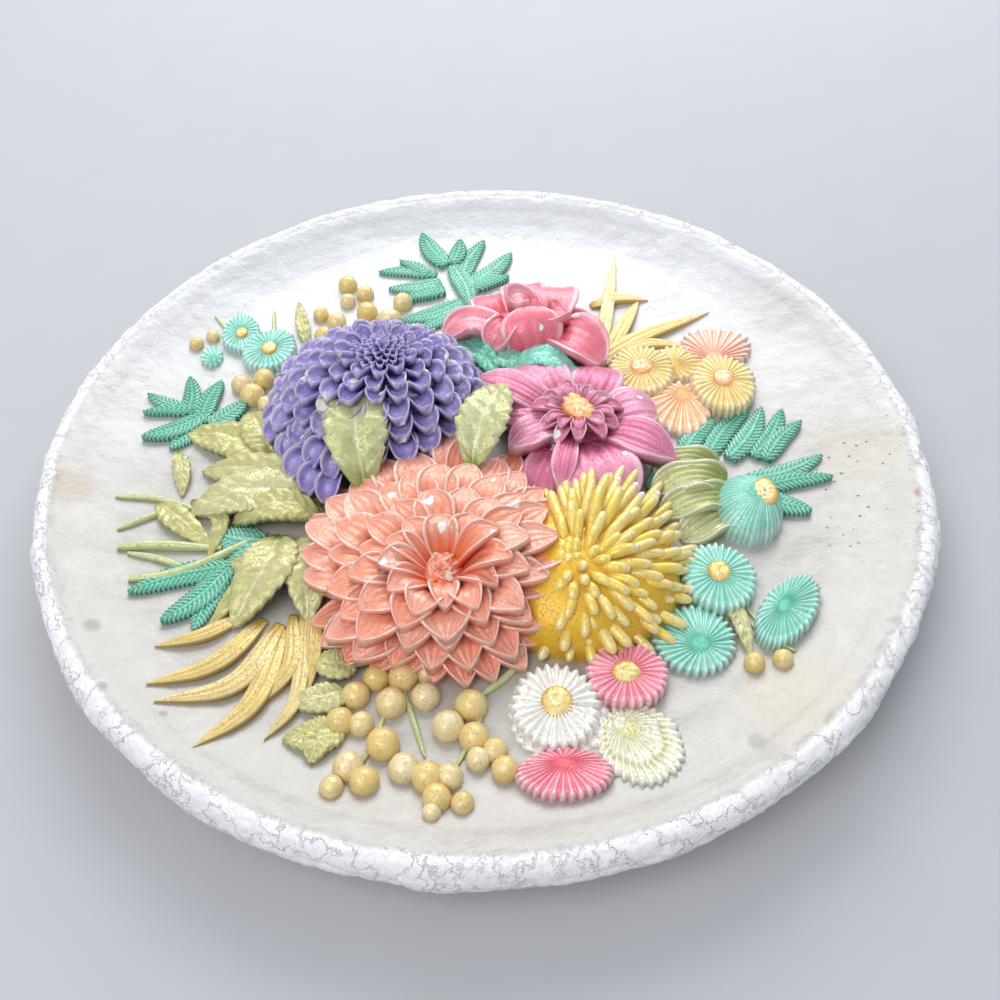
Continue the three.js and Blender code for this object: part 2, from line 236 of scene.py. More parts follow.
def ribbon(bag, path, half, lift, drop=3.0, lean=0.0, **fields):
    """A closed body along a path: lift raises its top, and its sides drop to its underside.

    path is (rows, 3), half the half width at each row, lift the (rows, columns) heights. lean
    turns it about its path.
    """
    rows, cols = lift.shape
    w = spread(cols)
    along = unit(np.gradient(path, axis=0))
    side = unit(np.cross(along, vec(0, 0, 1)))
    out = np.cross(side, along)
    cos, sin = math.cos(lean), math.sin(lean)
    side, out = side * cos + out * sin, out * cos - side * sin
    across = side[:, None] * (half[:, None] * w)[..., None]
    top = path[:, None] + across + out[:, None] * lift[..., None]
    edges = top[:, (0, -1)]
    under = path[:, None] + (edges - path[:, None]) * TUCK - vec(0, 0, drop)
    s = np.linspace(0, 1, rows)[:, None]
    given = {"along": s, "across": w[None, :], "deep": 0.0, **fields}
    full = {}
    for name, value in given.items():
        value = np.broadcast_to(np.asarray(value, float), (rows, cols))
        full[name] = np.concatenate([value.ravel(), value[:, (0, -1)].ravel()])
    # Painted shade: the underside takes the full crease colour and the sides darken towards it.
    full["deep"][rows * cols :] = 1
    points = np.vstack([top.reshape(-1, 3), under.reshape(-1, 3)])
    bag.add(points, ribbon_faces(rows, cols), **full)


def ribbon_faces(rows, cols):
    """The top, the underside, the two sides and the two ends of a ribbon."""
    start = np.arange(rows) * cols
    end = start + cols - 1
    left = rows * cols + 2 * np.arange(rows)
    right = left + 1
    return [
        grid_faces(rows, cols),
        np.stack([left[:-1], left[1:], right[1:], right[:-1]], -1),
        np.stack([start[:-1], start[1:], left[1:], left[:-1]], -1),
        np.stack([end[1:], end[:-1], right[:-1], right[1:]], -1),
        fan([left[0], right[0], *range(end[0], start[0] - 1, -1)]),
        fan([right[-1], left[-1], *range(start[-1], end[-1] + 1)]),
    ]


def petal_width(s, widest, neck, sharp):
    """Half width along a petal: sharp is about 0.5 for a round end and 1 for a pointed one."""
    x = np.clip((s - widest) / (1 - widest), 0, 1)
    rise = neck + (1 - neck) * np.sin(math.pi / 2 * np.clip(s / widest, 0, 1))
    return np.maximum(np.where(s < widest, rise, (1 - x**1.9) ** sharp), 0.02)


PETAL = dict(cup=0.3, roll=0.5, sharp=0.85, widest=0.58, neck=0.45, grooves=4, depth=0.3, drop=4.0,
             rows=20, cols=21, tone=0.5, dome=0.0, fold=0.0, lean=0.0, wave=0.0, hook=0.0)


def petal(bag, base, mid, tip, half, **style):
    """A cupped petal with a rolled rim and fine grooves that meet at its tip."""
    p = {**PETAL, **style}
    s = np.linspace(0, 1, p["rows"])
    s = 0.6 * s + 0.4 * np.sin(math.pi / 2 * s)
    path = bend(base, mid, tip, s)
    width = half * petal_width(s, p["widest"], p["neck"], p["sharp"])
    w = spread(p["cols"])[None, :]
    a = np.abs(w)
    fade = (np.sin(math.pi * np.clip(s, 0, 1)) ** 0.5)[:, None]
    rim = bell(a - 0.88, 0.13)
    groove = 0.5 - 0.5 * np.cos(2 * math.pi * p["grooves"] * w / 2 + math.pi * (p["grooves"] % 2))
    bowl = p["cup"] * a**2.2 + p["dome"] * (1 - a**2) - p["fold"] * bell(a, 0.16)
    spoon = width[:, None] * bowl
    lift = spoon + p["roll"] * rim * (0.3 + 0.7 * fade) - p["depth"] * fade * groove * (1 - rim)
    lift = lift + p["wave"] * np.sin(2 * math.pi * 1.5 * s)[:, None] * a * w
    lift = lift + p["hook"] * smooth(s, 0.8, 1.0)[:, None]
    # Painted highlight on the rolled rim, between the grooves and at the tip; painted shade at the root and in the
    # grooves.
    crest = 0.8 * rim + 0.35 * (1 - groove) * fade + 0.6 * smooth(s, 0.78, 1)[:, None]
    deep = np.clip(1 - s[:, None] / 0.6, 0, 1) + 0.3 * groove * fade
    ribbon(bag, path, width, lift, p["drop"], lean=p["lean"], tone=p["tone"],
           crest=np.clip(crest, 0, 1), deep=np.clip(deep * (1 - 0.5 * rim), 0, 1))


def polar(bag, centre, rim_points, heights, shares, skirt, centre_height, **fields):
    """A closed cushion from a middle point out to a rim.

    rim_points is (columns, 2), shares the share of the way out of each ring, and heights the
    (rings, columns) heights over the base plane; the last ring drops by the skirt.
    """
    cols = len(rim_points)
    rings = len(shares)
    middle = np.asarray(centre[:2], float)
    plan = middle + (rim_points - middle)[None] * np.asarray(shares)[:, None, None]
    top = np.concatenate([plan, heights[..., None]], -1).reshape(-1, 3)
    foot = top[-cols:] - vec(0, 0, skirt)
    points = np.vstack([[*middle, centre_height], top, foot])
    ring = np.arange(cols)
    follow = (ring + 1) % cols
    cap = np.stack([np.zeros(cols, int), 1 + ring, 1 + follow], -1)
    i = 1 + np.arange(rings)[:, None] * cols
    wall = np.stack([i + ring, i + cols + ring, i + cols + follow, i + follow], -1).reshape(-1, 4)
    base = fan(1 + rings * cols + ring[::-1])
    full = {}
    for name, value in {"along": np.asarray(shares)[:, None], **fields}.items():
        value = np.broadcast_to(np.asarray(value, float), (rings, cols))
        full[name] = np.concatenate([[value[0].mean()], value.ravel(), value[-1]])
    bag.add(points, [cap, wall, base], **full)


def oval(ru, rv, turn, angles, scale=1.0):
    """Points of a turned oval round the origin; scale may vary with the angle."""
    x = ru * scale * np.cos(angles)
    y = rv * scale * np.sin(angles)
    cos, sin = math.cos(math.radians(turn)), math.sin(math.radians(turn))
    return np.stack([x * cos - y * sin, x * sin + y * cos], -1)


CROWN = 2.2  # how square-shouldered a cushion is


def cushion(bag, u, v, base, ru, rv, rise, turn=0, rings=14, cols=44, stipple=0.0, grain=1.4,
            skirt=4.0, seed=3, dimple=0.0, **fields):
    """An oval button, with or without a stippled skin."""
    angles = np.linspace(0, 2 * math.pi, cols, endpoint=False)
    edge = oval(ru, rv, turn, angles) + (u, v)
    shares = np.sin(np.linspace(0, math.pi / 2, rings + 1)[1:])
    height = base + rise * (1 - shares[:, None] ** CROWN) ** (1 / CROWN) * np.ones(cols)
    height = height - dimple * bell(shares[:, None], 0.3)
    spots = (u, v) + (edge - (u, v))[None] * shares[:, None, None]
    lumps = noise(np.concatenate([spots, 0 * height[..., None]], -1), grain, seed)
    height = height + stipple * lumps
    # Painted highlight over the middle and painted shade towards the foot.
    crest = np.clip(0.6 - 0.4 * shares[:, None] + 0.6 * lumps * (stipple > 0), 0, 1)
    given = {"crest": crest, "deep": smooth(shares, 0.55, 1.0)[:, None], "tone": 0.5, **fields}
    polar(bag, (u, v), edge, height, shares, skirt, base + rise - dimple, **given)


# ------------------------------------------------------------------ finishes


def linear(rgb):
    """A colour as seen on screen, in linear light."""
    return [c / 12.92 if c <= 0.04045 else ((c + 0.055) / 1.055) ** 2.4 for c in rgb]


class Socket:
    """A shader value that can be used in an expression."""

    def __init__(self, tree, socket):
        self.tree = tree
        self.socket = socket

    def maths(self, operation, *values):
        node = self.tree.nodes.new("ShaderNodeMath")
        node.operation = operation
        for slot, value in zip(node.inputs, values):
            connect(self.tree, slot, value)
        return Socket(self.tree, node.outputs[0])

    def __add__(self, other):
        return self.maths("ADD", self, other)

    def __radd__(self, other):
        return self.maths("ADD", other, self)

    def __sub__(self, other):
        return self.maths("SUBTRACT", self, other)

    def __rsub__(self, other):
        return self.maths("SUBTRACT", other, self)

    def __mul__(self, other):
        return self.maths("MULTIPLY", self, other)

    def __rmul__(self, other):
        return self.maths("MULTIPLY", other, self)

    def __truediv__(self, other):
        return self.maths("DIVIDE", self, other)

    def __pow__(self, other):
        return self.maths("POWER", self, other)

    def size(self):
        return self.maths("ABSOLUTE", self)

    def between(self, low, high):
        """0 below low, 1 above high, and smooth between."""
        node = self.tree.nodes.new("ShaderNodeMapRange")
        node.interpolation_type = "SMOOTHSTEP"
        for name, value in (("Value", self), ("From Min", low), ("From Max", high)):
            connect(self.tree, node.inputs[name], value)
        return Socket(self.tree, node.outputs["Result"])


def connect(tree, slot, value):
    """Links a socket into an input, or writes a plain number or colour there."""
    if isinstance(value, Socket):
        tree.links.new(value.socket, slot)
    elif slot.type == "RGBA":
        slot.default_value = [*value, 1.0][:4]
    else:
        slot.default_value = value


class Finish:
    """A material under construction."""

    def __init__(self, name):
        self.material = bpy.data.materials.new(name)
        self.material.use_nodes = True
        self.tree = self.material.node_tree
        self.tree.nodes.clear()
        self.where = self.node("ShaderNodeTexCoord")["Object"]

    def node(self, kind, settings=None, **values):
        """Adds a node; returns its outputs by name."""
        node = self.tree.nodes.new(kind)
        for name, value in (settings or {}).items():
            setattr(node, name, value)
        for name, value in values.items():
            connect(self.tree, node.inputs[name.replace("_", " ")], value)
        return {output.name: Socket(self.tree, output) for output in node.outputs}

    def noise(self, size, detail=2.0, vector=None, roughness=0.55):
        """Noise from 0 to 1 with lumps of the given size in plaque units."""
        values = dict(Scale=1 / (size * UNIT), Detail=detail, Roughness=roughness)
        return self.node("ShaderNodeTexNoise", Vector=vector or self.where, **values)["Fac"]

    def cells(self, size):
        """Distance to the nearest of many scattered spots, from 0 to about 1."""
        return self.node("ShaderNodeTexVoronoi", Vector=self.where, Scale=1 / (size * UNIT))["Distance"]

    def field(self, name):
        return self.node("ShaderNodeAttribute", {"attribute_name": name})["Fac"]

    def mix(self, factor, first, second):
        """Mixes two colours."""
        node = self.tree.nodes.new("ShaderNodeMix")
        node.data_type = "RGBA"
        node.clamp_factor = True
        for slot, value in ((0, factor), (6, first), (7, second)):
            connect(self.tree, node.inputs[slot], value)
        return Socket(self.tree, node.outputs[2])

    def vector(self, x, y, z):
        return self.node("ShaderNodeCombineXYZ", X=x, Y=y, Z=z)["Vector"]

    def bump(self, height, distance, strength=1.0, under=None):
        """Small relief; distance is its depth in plaque units."""
        values = dict(Height=height, Distance=distance * UNIT, Strength=strength)
        if under:
            values["Normal"] = under
        return self.node("ShaderNodeBump", **values)["Normal"]

    def finish(self, colour, roughness, metallic=0.0, coat=0.0, coat_roughness=0.2, normal=None):
        """Closes the material with the shader."""
        shader = self.tree.nodes.new("ShaderNodeBsdfPrincipled")
        given = {
            "Base Color": colour, "Roughness": roughness, "Metallic": metallic,
            "Coat Weight": coat, "Coat Roughness": coat_roughness,
        }
        if normal:
            given["Normal"] = normal
        for name, value in given.items():
            connect(self.tree, shader.inputs[name], value)
        output = self.tree.nodes.new("ShaderNodeOutputMaterial")
        self.tree.links.new(shader.outputs[0], output.inputs["Surface"])
        return self.material


CHALK = (0.93, 0.92, 0.90)


def whiter(rgb, share):
    """A colour moved towards white."""
    return [c + (1 - c) * share for c in rgb]


def pearl_paint(name, mid, deep, light, metallic=0.3, wear=0.35, streak=0.5):
    """Pearly brushed paint, rubbed and chipped in places, with painted shade deep and rich in the creases and a
    painted pale highlight on the ridges.
    """
    m = Finish(name)
    crest, depth, tone, chip = (m.field(f) for f in ("crest", "deep", "tone", "chip"))
    flow = m.vector(m.field("across") * 0.055, m.field("along") * 0.012, tone * 0.3)
    streaks = m.noise(1.0, 3.0, flow)
    cloud = m.noise(6.0, 3.0)
    speck = m.noise(0.9, 4.0, roughness=0.7)
    colour = m.mix((tone - 0.5) * 0.7 + cloud.between(0.35, 0.7) * 0.35, linear(mid), linear(light))
    colour = m.mix(streaks.between(0.45, 0.8) * streak, colour, linear(light))
    # Painted shade: creases, roots and undersides take the deeper crease colour.
    colour = m.mix((depth + (speck - 0.5) * 0.4).between(0.15, 1.0), colour, linear(deep))
    # Painted highlight: ridges, rims and tips turn paler, broken up by fine specks.
    ridges = (crest + (speck - 0.5) * 0.7).between(0.4, 1.1)
    colour = m.mix(ridges * 0.8, colour, linear(whiter(light, 0.4)))
    rubbed = (crest * 0.6 + m.noise(2.6, 4.0, roughness=0.7)).between(1.06, 1.14) * wear
    bare = (chip + (speck - 0.5) * 0.5).between(0.02, 0.12)
    colour = m.mix(rubbed, colour, linear(CHALK))
    colour = m.mix(bare, colour, linear(CHALK))
    gloss = 0.34 + speck * 0.2 + rubbed * 0.2 + bare * 0.4
    skin = m.bump(speck, 0.1, 0.45)
    skin = m.bump(1 - bare, 0.45, 0.8, skin)
    return m.finish(colour, gloss, metallic * (1 - bare), 0.3 * (1 - bare), 0.22, skin)


def spot(m, u, v, radius, ragged=0.5):
    """A ragged patch on the dish's front, 1 in its middle."""
    place_of = m.node("ShaderNodeSeparateXYZ", Vector=m.where)
    du = place_of["X"] / UNIT - u
    dv = place_of["Z"] / UNIT - v
    away = (du * du + dv * dv) ** 0.5 / radius
    return (1 - away + (m.noise(9.0, 4.0) - 0.5) * 2 * ragged).between(0.0, 0.6)


# Where the ground has fine dark pits: u, v, radius.
PITTED = (150, -28, 46)
# Stains and smudges on the ground, and two broad warm patches that make it darker at the right and at the lower right:
# u, v, radius, colour and strength.
GROUND_MARKS = [
    (-161, -16, 13, (0.66, 0.58, 0.48), 0.45),
    (-138, -81, 4, (0.52, 0.51, 0.50), 0.7),
    (-128, -107, 2.5, (0.50, 0.49, 0.48), 0.7),
    (-107, -116, 2.0, (0.50, 0.49, 0.48), 0.6),
    (83, -134, 4.5, (0.55, 0.54, 0.52), 0.6),
    (85, -138, 6, (0.62, 0.60, 0.56), 0.5),
    (155, -73, 7, (0.60, 0.58, 0.54), 0.4),
    (164, -39, 3.5, (0.58, 0.36, 0.24), 0.8),
    (166, -45, 4.5, (0.66, 0.50, 0.40), 0.5),
    (150, -10, 24, (0.70, 0.67, 0.60), 0.45),
    (100, -118, 26, (0.72, 0.68, 0.60), 0.4),
    (-136, -111, 3.0, (0.40, 0.33, 0.29), 0.8),
    (60, 150, 12, (0.74, 0.73, 0.70), 0.3),
]


def creases(m, size, detail, width):
    """0 in thin winding lines and 1 between them."""
    return ((m.noise(size, detail, roughness=0.6) - 0.5).size() * 2).between(0.0, width)


def pearl_ground(rim_wear):
    """Warm white pearly paint on plaster, with a painted sheen that makes it paler and cooler towards the top: chalky
    and flaked at the rim, pitted, stained and smudged.
    """
    m = Finish("pearl_ground")
    rim, back = m.field("crest"), m.field("deep")
    cloud = m.noise(60.0, 3.0)
    brush = m.noise(7.0, 5.0, roughness=0.6)
    fine = m.noise(1.6, 5.0, roughness=0.7)
    flakes = creases(m, 9.0, 5.0, 0.035)
    wrinkles = creases(m, 4.0, 3.0, 0.05)
    height = m.node("ShaderNodeSeparateXYZ", Vector=m.where)["Z"] / (RADIUS * UNIT)
    # Painted sheen: paler and cooler towards the top, warmer and darker below, with cloudy edges.
    up = (height + (cloud - 0.5) * 1.2).between(-0.3, 0.9)
    colour = m.mix(up, linear((0.695, 0.68, 0.65)), linear((0.80, 0.805, 0.81)))
    colour = m.mix(brush.between(0.4, 0.8) * 0.35, colour, linear((0.78, 0.77, 0.755)))
    colour = m.mix(fine.between(0.6, 0.8) * 0.2, colour, linear((0.62, 0.60, 0.56)))
    for u, v, radius, tint, share in GROUND_MARKS:
        colour = m.mix(spot(m, u, v, radius) * share, colour, linear(tint))
    pits = (1 - m.cells(4.5).between(0.05, 0.13)) * spot(m, *PITTED, ragged=0.3)
    colour = m.mix(pits * 0.8, colour, linear((0.36, 0.31, 0.27)))
    chalk = (rim + (brush - 0.5) * 0.8).between(0.15, 0.75) * rim_wear
    colour = m.mix(chalk, colour, linear((0.95, 0.95, 0.95)))
    grime = (1 - flakes) * m.noise(14.0, 3.0).between(0.4, 0.62) + (1 - wrinkles) * 0.15
    colour = m.mix(grime * chalk * 0.45, colour, linear((0.60, 0.59, 0.58)))
    colour = m.mix(back, colour, linear((0.84, 0.82, 0.78)))
    gloss = 0.36 + fine * 0.16 + chalk * 0.4 + back * 0.4
    pearl = (1 - chalk) * (1 - back)
    skin = m.bump(fine, 0.3, 0.5)
    skin = m.bump(brush, 0.9, 0.6, skin)
    skin = m.bump(1 - pits, 0.5, 0.8, skin)
    skin = m.bump(flakes * chalk, 0.6, 0.7, skin)
    skin = m.bump(wrinkles * chalk, 0.2, 0.6, skin)
    return m.finish(colour, gloss, pearl * 0.25, pearl * 0.3, 0.25, skin)


# ------------------------------------------------------------------ the dish


def dish(segments):
    """The turned plaster dish with its worn, uneven rim."""
    bag = Bag()
    back = resample(BACK, [0, 60, 118, 122, 130, 145, 157, 164, 168, 171.5])
    rim = through([(*p, 0) for p in RIM], 44)[:, :2]
    front = resample(FRONT, [*np.linspace(157.6, 100, 24), 84, 60, 30])
    section = np.vstack([back[1:-1], rim, front])
    a = np.linspace(0, 2 * math.pi, segments, endpoint=False)
    r, t = section[:, 0][:, None], section[:, 1][:, None]
    points = np.stack([r * np.cos(a), r * np.sin(a), t * np.ones(segments)], -1)
    rows = len(section)
    position = np.arange(rows)
    outer_wall = position < len(back) + 14
    outward = unit(points * (1, 1, 0)) * np.where(outer_wall, 1.0, 0.35)[:, None, None]
    worn = rim_relief(points) * smooth(r, 161, 171)
    points = points + (outward + vec(0, 0, 0.6)) * worn[..., None]
    inside = smooth(position, len(back) + 26, len(back) + 40)[:, None]
    points[..., 2] = points[..., 2] + brushed_relief(points) * inside
    is_back = 1 - smooth(position, len(back) - 4, len(back) + 4)[:, None]
    ring = np.arange(segments)
    inner_ring = (rows - 1) * segments + ring
    faces = [grid_faces(rows, segments, closed=True), fan(ring[::-1]), fan(inner_ring)]
    chalky = smooth(r, 164.5, 171.5)
    bag.add(points, faces, crest=chalky * np.ones(segments), deep=is_back * np.ones(segments))
    return bag


def rim_relief(points):
    """Lumps, creases and grain of the rim."""
    lumps = 0.9 * noise(points, 19, 1) + 0.5 * noise(points, 8, 2)
    lined = lumps - 0.55 * creased(points, 6.5, 3) - 0.45 * creased(points, 3.4, 4)
    return lined + 0.2 * noise(points, 1.7, 5) + 0.35


def brushed_relief(points):
    """The faint unevenness of the dish's front."""
    return 0.35 * noise(points, 34, 7) + 0.25 * noise(points, 12, 5) + 0.1 * noise(points, 4.5, 6)


def creased(points, scale, seed):
    """1 along thin winding lines and near 0 between them."""
    return (1 - np.abs(noise(points, scale, seed))) ** 5


def resample(line, radii):
    """The section's points at the given radii."""
    r, t = zip(*sorted(line))
    return np.stack([radii, np.interp(radii, r, t)], -1)


# ------------------------------------------------------------------ the large flowers


class Head:
    """The plan of a flower head: its heart, its outline's middle, and how far its petals reach."""

    def __init__(self, heart, outline, reach, aspect=1.0, seed=1):
        self.heart = np.array(heart, float)
        self.outline = np.array(outline, float)
        self.reach = reach
        self.aspect = aspect
        self.random = np.random.default_rng(seed)

    def at(self, radius, angle, height):
        """A point at a radius from the heart; the rings drift towards the outline's middle."""
        share = min(1.0, radius / self.reach)
        u, v = self.heart + (self.outline - self.heart) * share
        return vec(u + radius * math.cos(angle), v + radius * self.aspect * math.sin(angle), height)

    def ring(self, bag, count, base, mid, tip, half, phase=0.0, loose=1.0, keep=None, **style):
        """A ring of petals; base, mid and tip are each (radius, height)."""
        for i in range(count):
            a = 2 * math.pi * (i + phase + self.random.uniform(-0.14, 0.14) * loose) / count
            grow = 1 + self.random.uniform(-0.05, 0.05) * loose
            lift = self.random.uniform(-0.9, 0.9) * loose
            lean = self.random.uniform(-0.16, 0.16) * loose
            tone = self.random.uniform(0, 1)
            swing = self.random.uniform(-0.05, 0.05) * loose
            wide = half * self.random.uniform(0.93, 1.07)
            if keep and not keep(a):
                continue
            start = self.at(base[0], a - swing, base[1])
            middle = self.at(mid[0] * grow, a + swing, mid[1] + lift * 0.6)
            end = self.at(tip[0] * grow, a, tip[1] + lift)
            petal(bag, start, middle, end, wide, tone=tone, lean=lean, **style)


# The coral dahlia's layers from the lowest up: height of the tips, height of the roots, length.
CORAL_LAYERS = [(18, 17, 24), (24, 21, 24), (29.5, 25, 22), (34.5, 28.5, 20), (38.5, 29, 16)]
# Its petals by layer: angle in degrees from the heart, reach of the tip, half width.
CORAL_PETALS = [
    [(-167, 49, 7), (-154, 48, 7), (-142, 46, 7), (-128, 41, 7), (-111, 36, 7), (-97, 37, 7), (-80, 39, 7.5),
     (-66, 40, 7.5), (-50, 42, 7), (-36, 40, 7), (-18, 38, 6), (42, 52, 6), (58, 66, 6), (66, 72, 7),
     (122, 66, 7), (132, 67, 7), (144, 64, 7), (158, 59, 6.5), (172, 52, 7)],
    [(-152, 46, 8), (-136, 43, 8), (-119, 37, 8), (-98, 35, 9), (-77, 36, 8.5), (-53, 39, 8), (-33, 39, 7.5),
     (-11, 40, 7.5), (8, 46, 8), (24, 52, 7.5), (36, 53, 6.5), (47, 55, 6.5), (58, 58, 7), (69, 62, 7.5),
     (80, 71, 7), (89, 72, 7.5), (101, 64, 9), (113, 65, 8), (126, 60, 7.5), (138, 60, 7.5), (151, 59, 7.5),
     (163, 55, 8), (175, 51, 8)],
    [(-173, 41, 8), (-156, 39, 7.5), (-137, 39, 8.5), (-113, 33, 8), (-88, 31, 8), (-61, 33, 8),
     (-36, 36, 7.5), (-8, 37, 7), (14, 42, 7), (33, 45, 7), (48, 44, 6.5), (64, 48, 7.5), (78, 52, 7.5), (91, 51, 8.5),
     (104, 50, 8), (117, 47, 8.5), (133, 52, 8), (149, 46, 8.5), (165, 43, 8)],
    [(-175, 33, 7), (-150, 33, 7.5), (-120, 29, 8), (-88, 30, 9.5), (-60, 28, 7.5), (-36, 33, 7.5),
     (-11, 30, 7), (12, 31, 7), (34, 34, 6.5), (55, 34, 7), (75, 36, 7.5), (98, 34, 8), (121, 34, 7.5),
     (143, 34, 7), (164, 31, 7)],
    [(-176, 22, 6), (-146, 22, 6), (-113, 24, 7), (-88, 21, 5.5), (-62, 24, 6), (-34, 22, 5.5), (-8, 24, 6),
     (22, 21, 5.5), (56, 21, 6), (93, 18, 6.5), (128, 21, 6), (158, 21, 5.5)],
]


CORAL_STYLE = dict(roll=0.75, sharp=0.9, widest=0.52, neck=0.5, depth=0.42, dome=0.1, hook=0.8,
                   rows=24, cols=25, drop=4.5)
CORAL_HEART = (-14.8, -68.6, 0)
CORAL_CHIPS = [
    (-34, -34, 1.5), (-20, -41, 2.3), (4, -28, 1.2), (11, -43, 2.6), (-15, -56, 1.7),
    (-35, -70, 1.7), (13, -69, 1.7), (3, -63, 0.9), (-18, -64, 1.3), (-13, -73, 1.2),
]


def coral_dahlia():
    """A decorative dahlia: layers of pointed, hollow petals round a closed bud."""
    bag = Bag()
    random = np.random.default_rng(11)
    for layer in range(len(CORAL_LAYERS)):
        for angle, reach, half in CORAL_PETALS[layer]:
            coral_petal(bag, random, layer, angle, reach, half)
    # Hidden bodies under the petals, painted all in shade; the stippled heart is painted partly in shade.
    cushion(bag, -16, -52, 14, 44, 50, 12, crest=0.0, deep=1.0)
    cushion(bag, -14.8, -66, 19, 21, 22, 8, crest=0.0, deep=1.0, tone=0.3)
    cushion(bag, -14.8, -68.6, 26, 10, 10, 8.5, stipple=0.4, grain=4, cols=60, crest=0.2, deep=0.4)
    bud(bag, random)
    bag.chip(CORAL_CHIPS)
    return bag


def coral_petal(bag, random, layer, angle, reach, half):
    """One petal of a layer; the right-hand ones of the upper layers stand higher."""
    tip_height, root_height, length = CORAL_LAYERS[layer]
    heart = vec(*CORAL_HEART)
    a = math.radians(angle)
    lift = random.uniform(-0.8, 0.8) + 6 * bell(angle - 12, 30) * (layer > 0)
    length_now = min(length * random.uniform(0.94, 1.06), reach - 5)
    turned = a + random.uniform(-0.1, 0.1)
    start = heart + (reach - length_now) * vec(math.cos(turned), math.sin(turned), 0)
    start = start + vec(0, 0, root_height + lift)
    tip = heart + reach * vec(math.cos(a), math.sin(a), 0) + vec(0, 0, tip_height + lift)
    middle = (start + tip) / 2 + vec(0, 0, 6.5 + abs(tip_height - root_height) / 2)
    cup = 0.3 if layer == len(CORAL_LAYERS) - 1 else 0.14
    grooves = 5 if half > 6.5 else 3
    lean = random.uniform(-0.16, 0.16)
    petal(bag, start, middle, tip, half, cup=cup, grooves=grooves, lean=lean,
          tone=random.uniform(), **CORAL_STYLE)


def bud(bag, random):
    """The closed heart: short petals twisted inwards over one another."""
    heart = vec(*CORAL_HEART)
    for count, radius, height in ((7, 9.4, 29.5), (6, 6.2, 33), (4, 3.2, 35)):
        for i in range(count):
            a = 2 * math.pi * (i + radius) / count
            start = heart + vec(radius * math.cos(a), radius * math.sin(a), height)
            inward = -0.35 * radius
            end = heart + vec(inward * math.cos(a + 0.9), inward * math.sin(a + 0.9), height + 3.2)
            middle = (start + end) / 2 + vec(0, 0, 2)
            petal(bag, start, middle, end, 4.0, cup=-0.25, roll=0.4, sharp=0.8, grooves=3,
                  depth=0.25, rows=16, cols=15, drop=3, tone=random.uniform())


def violet_dahlia():
    """A ball dahlia: a dome of small rolled petals, tiny at the crown, open and round below."""
    bag = Bag()
    head = Head((-38, 34), (-42.5, 25), 46, 0.84, seed=23)
    style = dict(cup=0.62, roll=0.45, sharp=0.5, widest=0.62, neck=0.5, grooves=3, depth=0.2,
                 rows=16, cols=17, loose=0.9, hook=1.4)
    rings = [
        (23, (33, 20), (41, 25), (46.5, 19.5), 6.0),
        (22, (29.5, 26), (38, 32), (43, 26), 5.9),
        (20, (25.5, 31), (34, 37.5), (38.5, 32.5), 5.6),
        (18, (21, 35), (29, 42), (33.5, 38), 5.1),
        (16, (17, 38), (23.5, 45), (28, 42), 4.6),
        (14, (12.5, 40), (18.5, 47), (22.5, 45), 4.0),
        (12, (8.5, 41), (13.5, 48), (17, 47), 3.4),
    ]
    for k, (count, base, mid, tip, half) in enumerate(rings):
        head.ring(bag, count, base, mid, tip, half, phase=0.5 * (k % 2), drop=4.5, **style)
    golden = math.pi * (3 - math.sqrt(5))
    for k in range(46):
        radius = 1.75 * math.sqrt(k + 0.5)
        a = golden * k
        height = 47.2 - 0.011 * radius**2
        tip = head.at(radius + 1.6, a, height + 0.9)
        root = head.at(max(radius - 2.2, 0), a, height - 2.5)
        petal(bag, root, head.at(radius, a, height + 1.6), tip, 1.55,
              cup=0.5, roll=0.3, sharp=0.5, rows=9, cols=9, grooves=1, depth=0.0, drop=2.5,
              tone=head.random.uniform(0.2, 0.9))
    # A hidden body under the petals, painted all in shade.
    cushion(bag, -40, 29, 24, 33, 27, 19, rings=12, crest=0.0, deep=1.0)
    for u, v, turn, long, half, height in VIOLET_SIDE_PETALS:
        a = math.radians(turn)
        way = vec(math.cos(a), math.sin(a), 0)
        start = vec(u, v, height) - way * long / 2
        petal(bag, start, vec(u, v, height + 6), start + way * long - vec(0, 0, 3), half, cup=0.6, roll=0.5,
              sharp=0.5, widest=0.6, grooves=2, depth=0.15, rows=16, cols=17, drop=4,
              tone=head.random.uniform(0, 1))
    bag.chip([(-70, 22, 2.2), (-62, 8, 2.4), (-49, 16, 1.6), (-38, 10, 1.4), (-20, 20, 1.8), (-12, 30, 1.6),
              (-28, 14, 1.3), (-71, 2, 1.5), (-56, 30, 1.1)], seed=9)
    return bag


# Petals that hang over the ball's lower left side: u, v, turn, length, half width, height.
VIOLET_SIDE_PETALS = [
    (-78, 14, 200, 13, 5.2, 21), (-76, 3, 215, 13, 5.4, 22), (-72, -7, 228, 13, 5.2, 23),
    (-66, -15, 240, 12, 5.0, 23), (-59, -20, 252, 12, 5.0, 23), (-64, -6, 235, 12, 4.8, 28),
    (-57, -12, 248, 11, 4.6, 28), (-69, 6, 215, 12, 4.8, 28), (-82, 26, 185, 12, 4.6, 20),
]


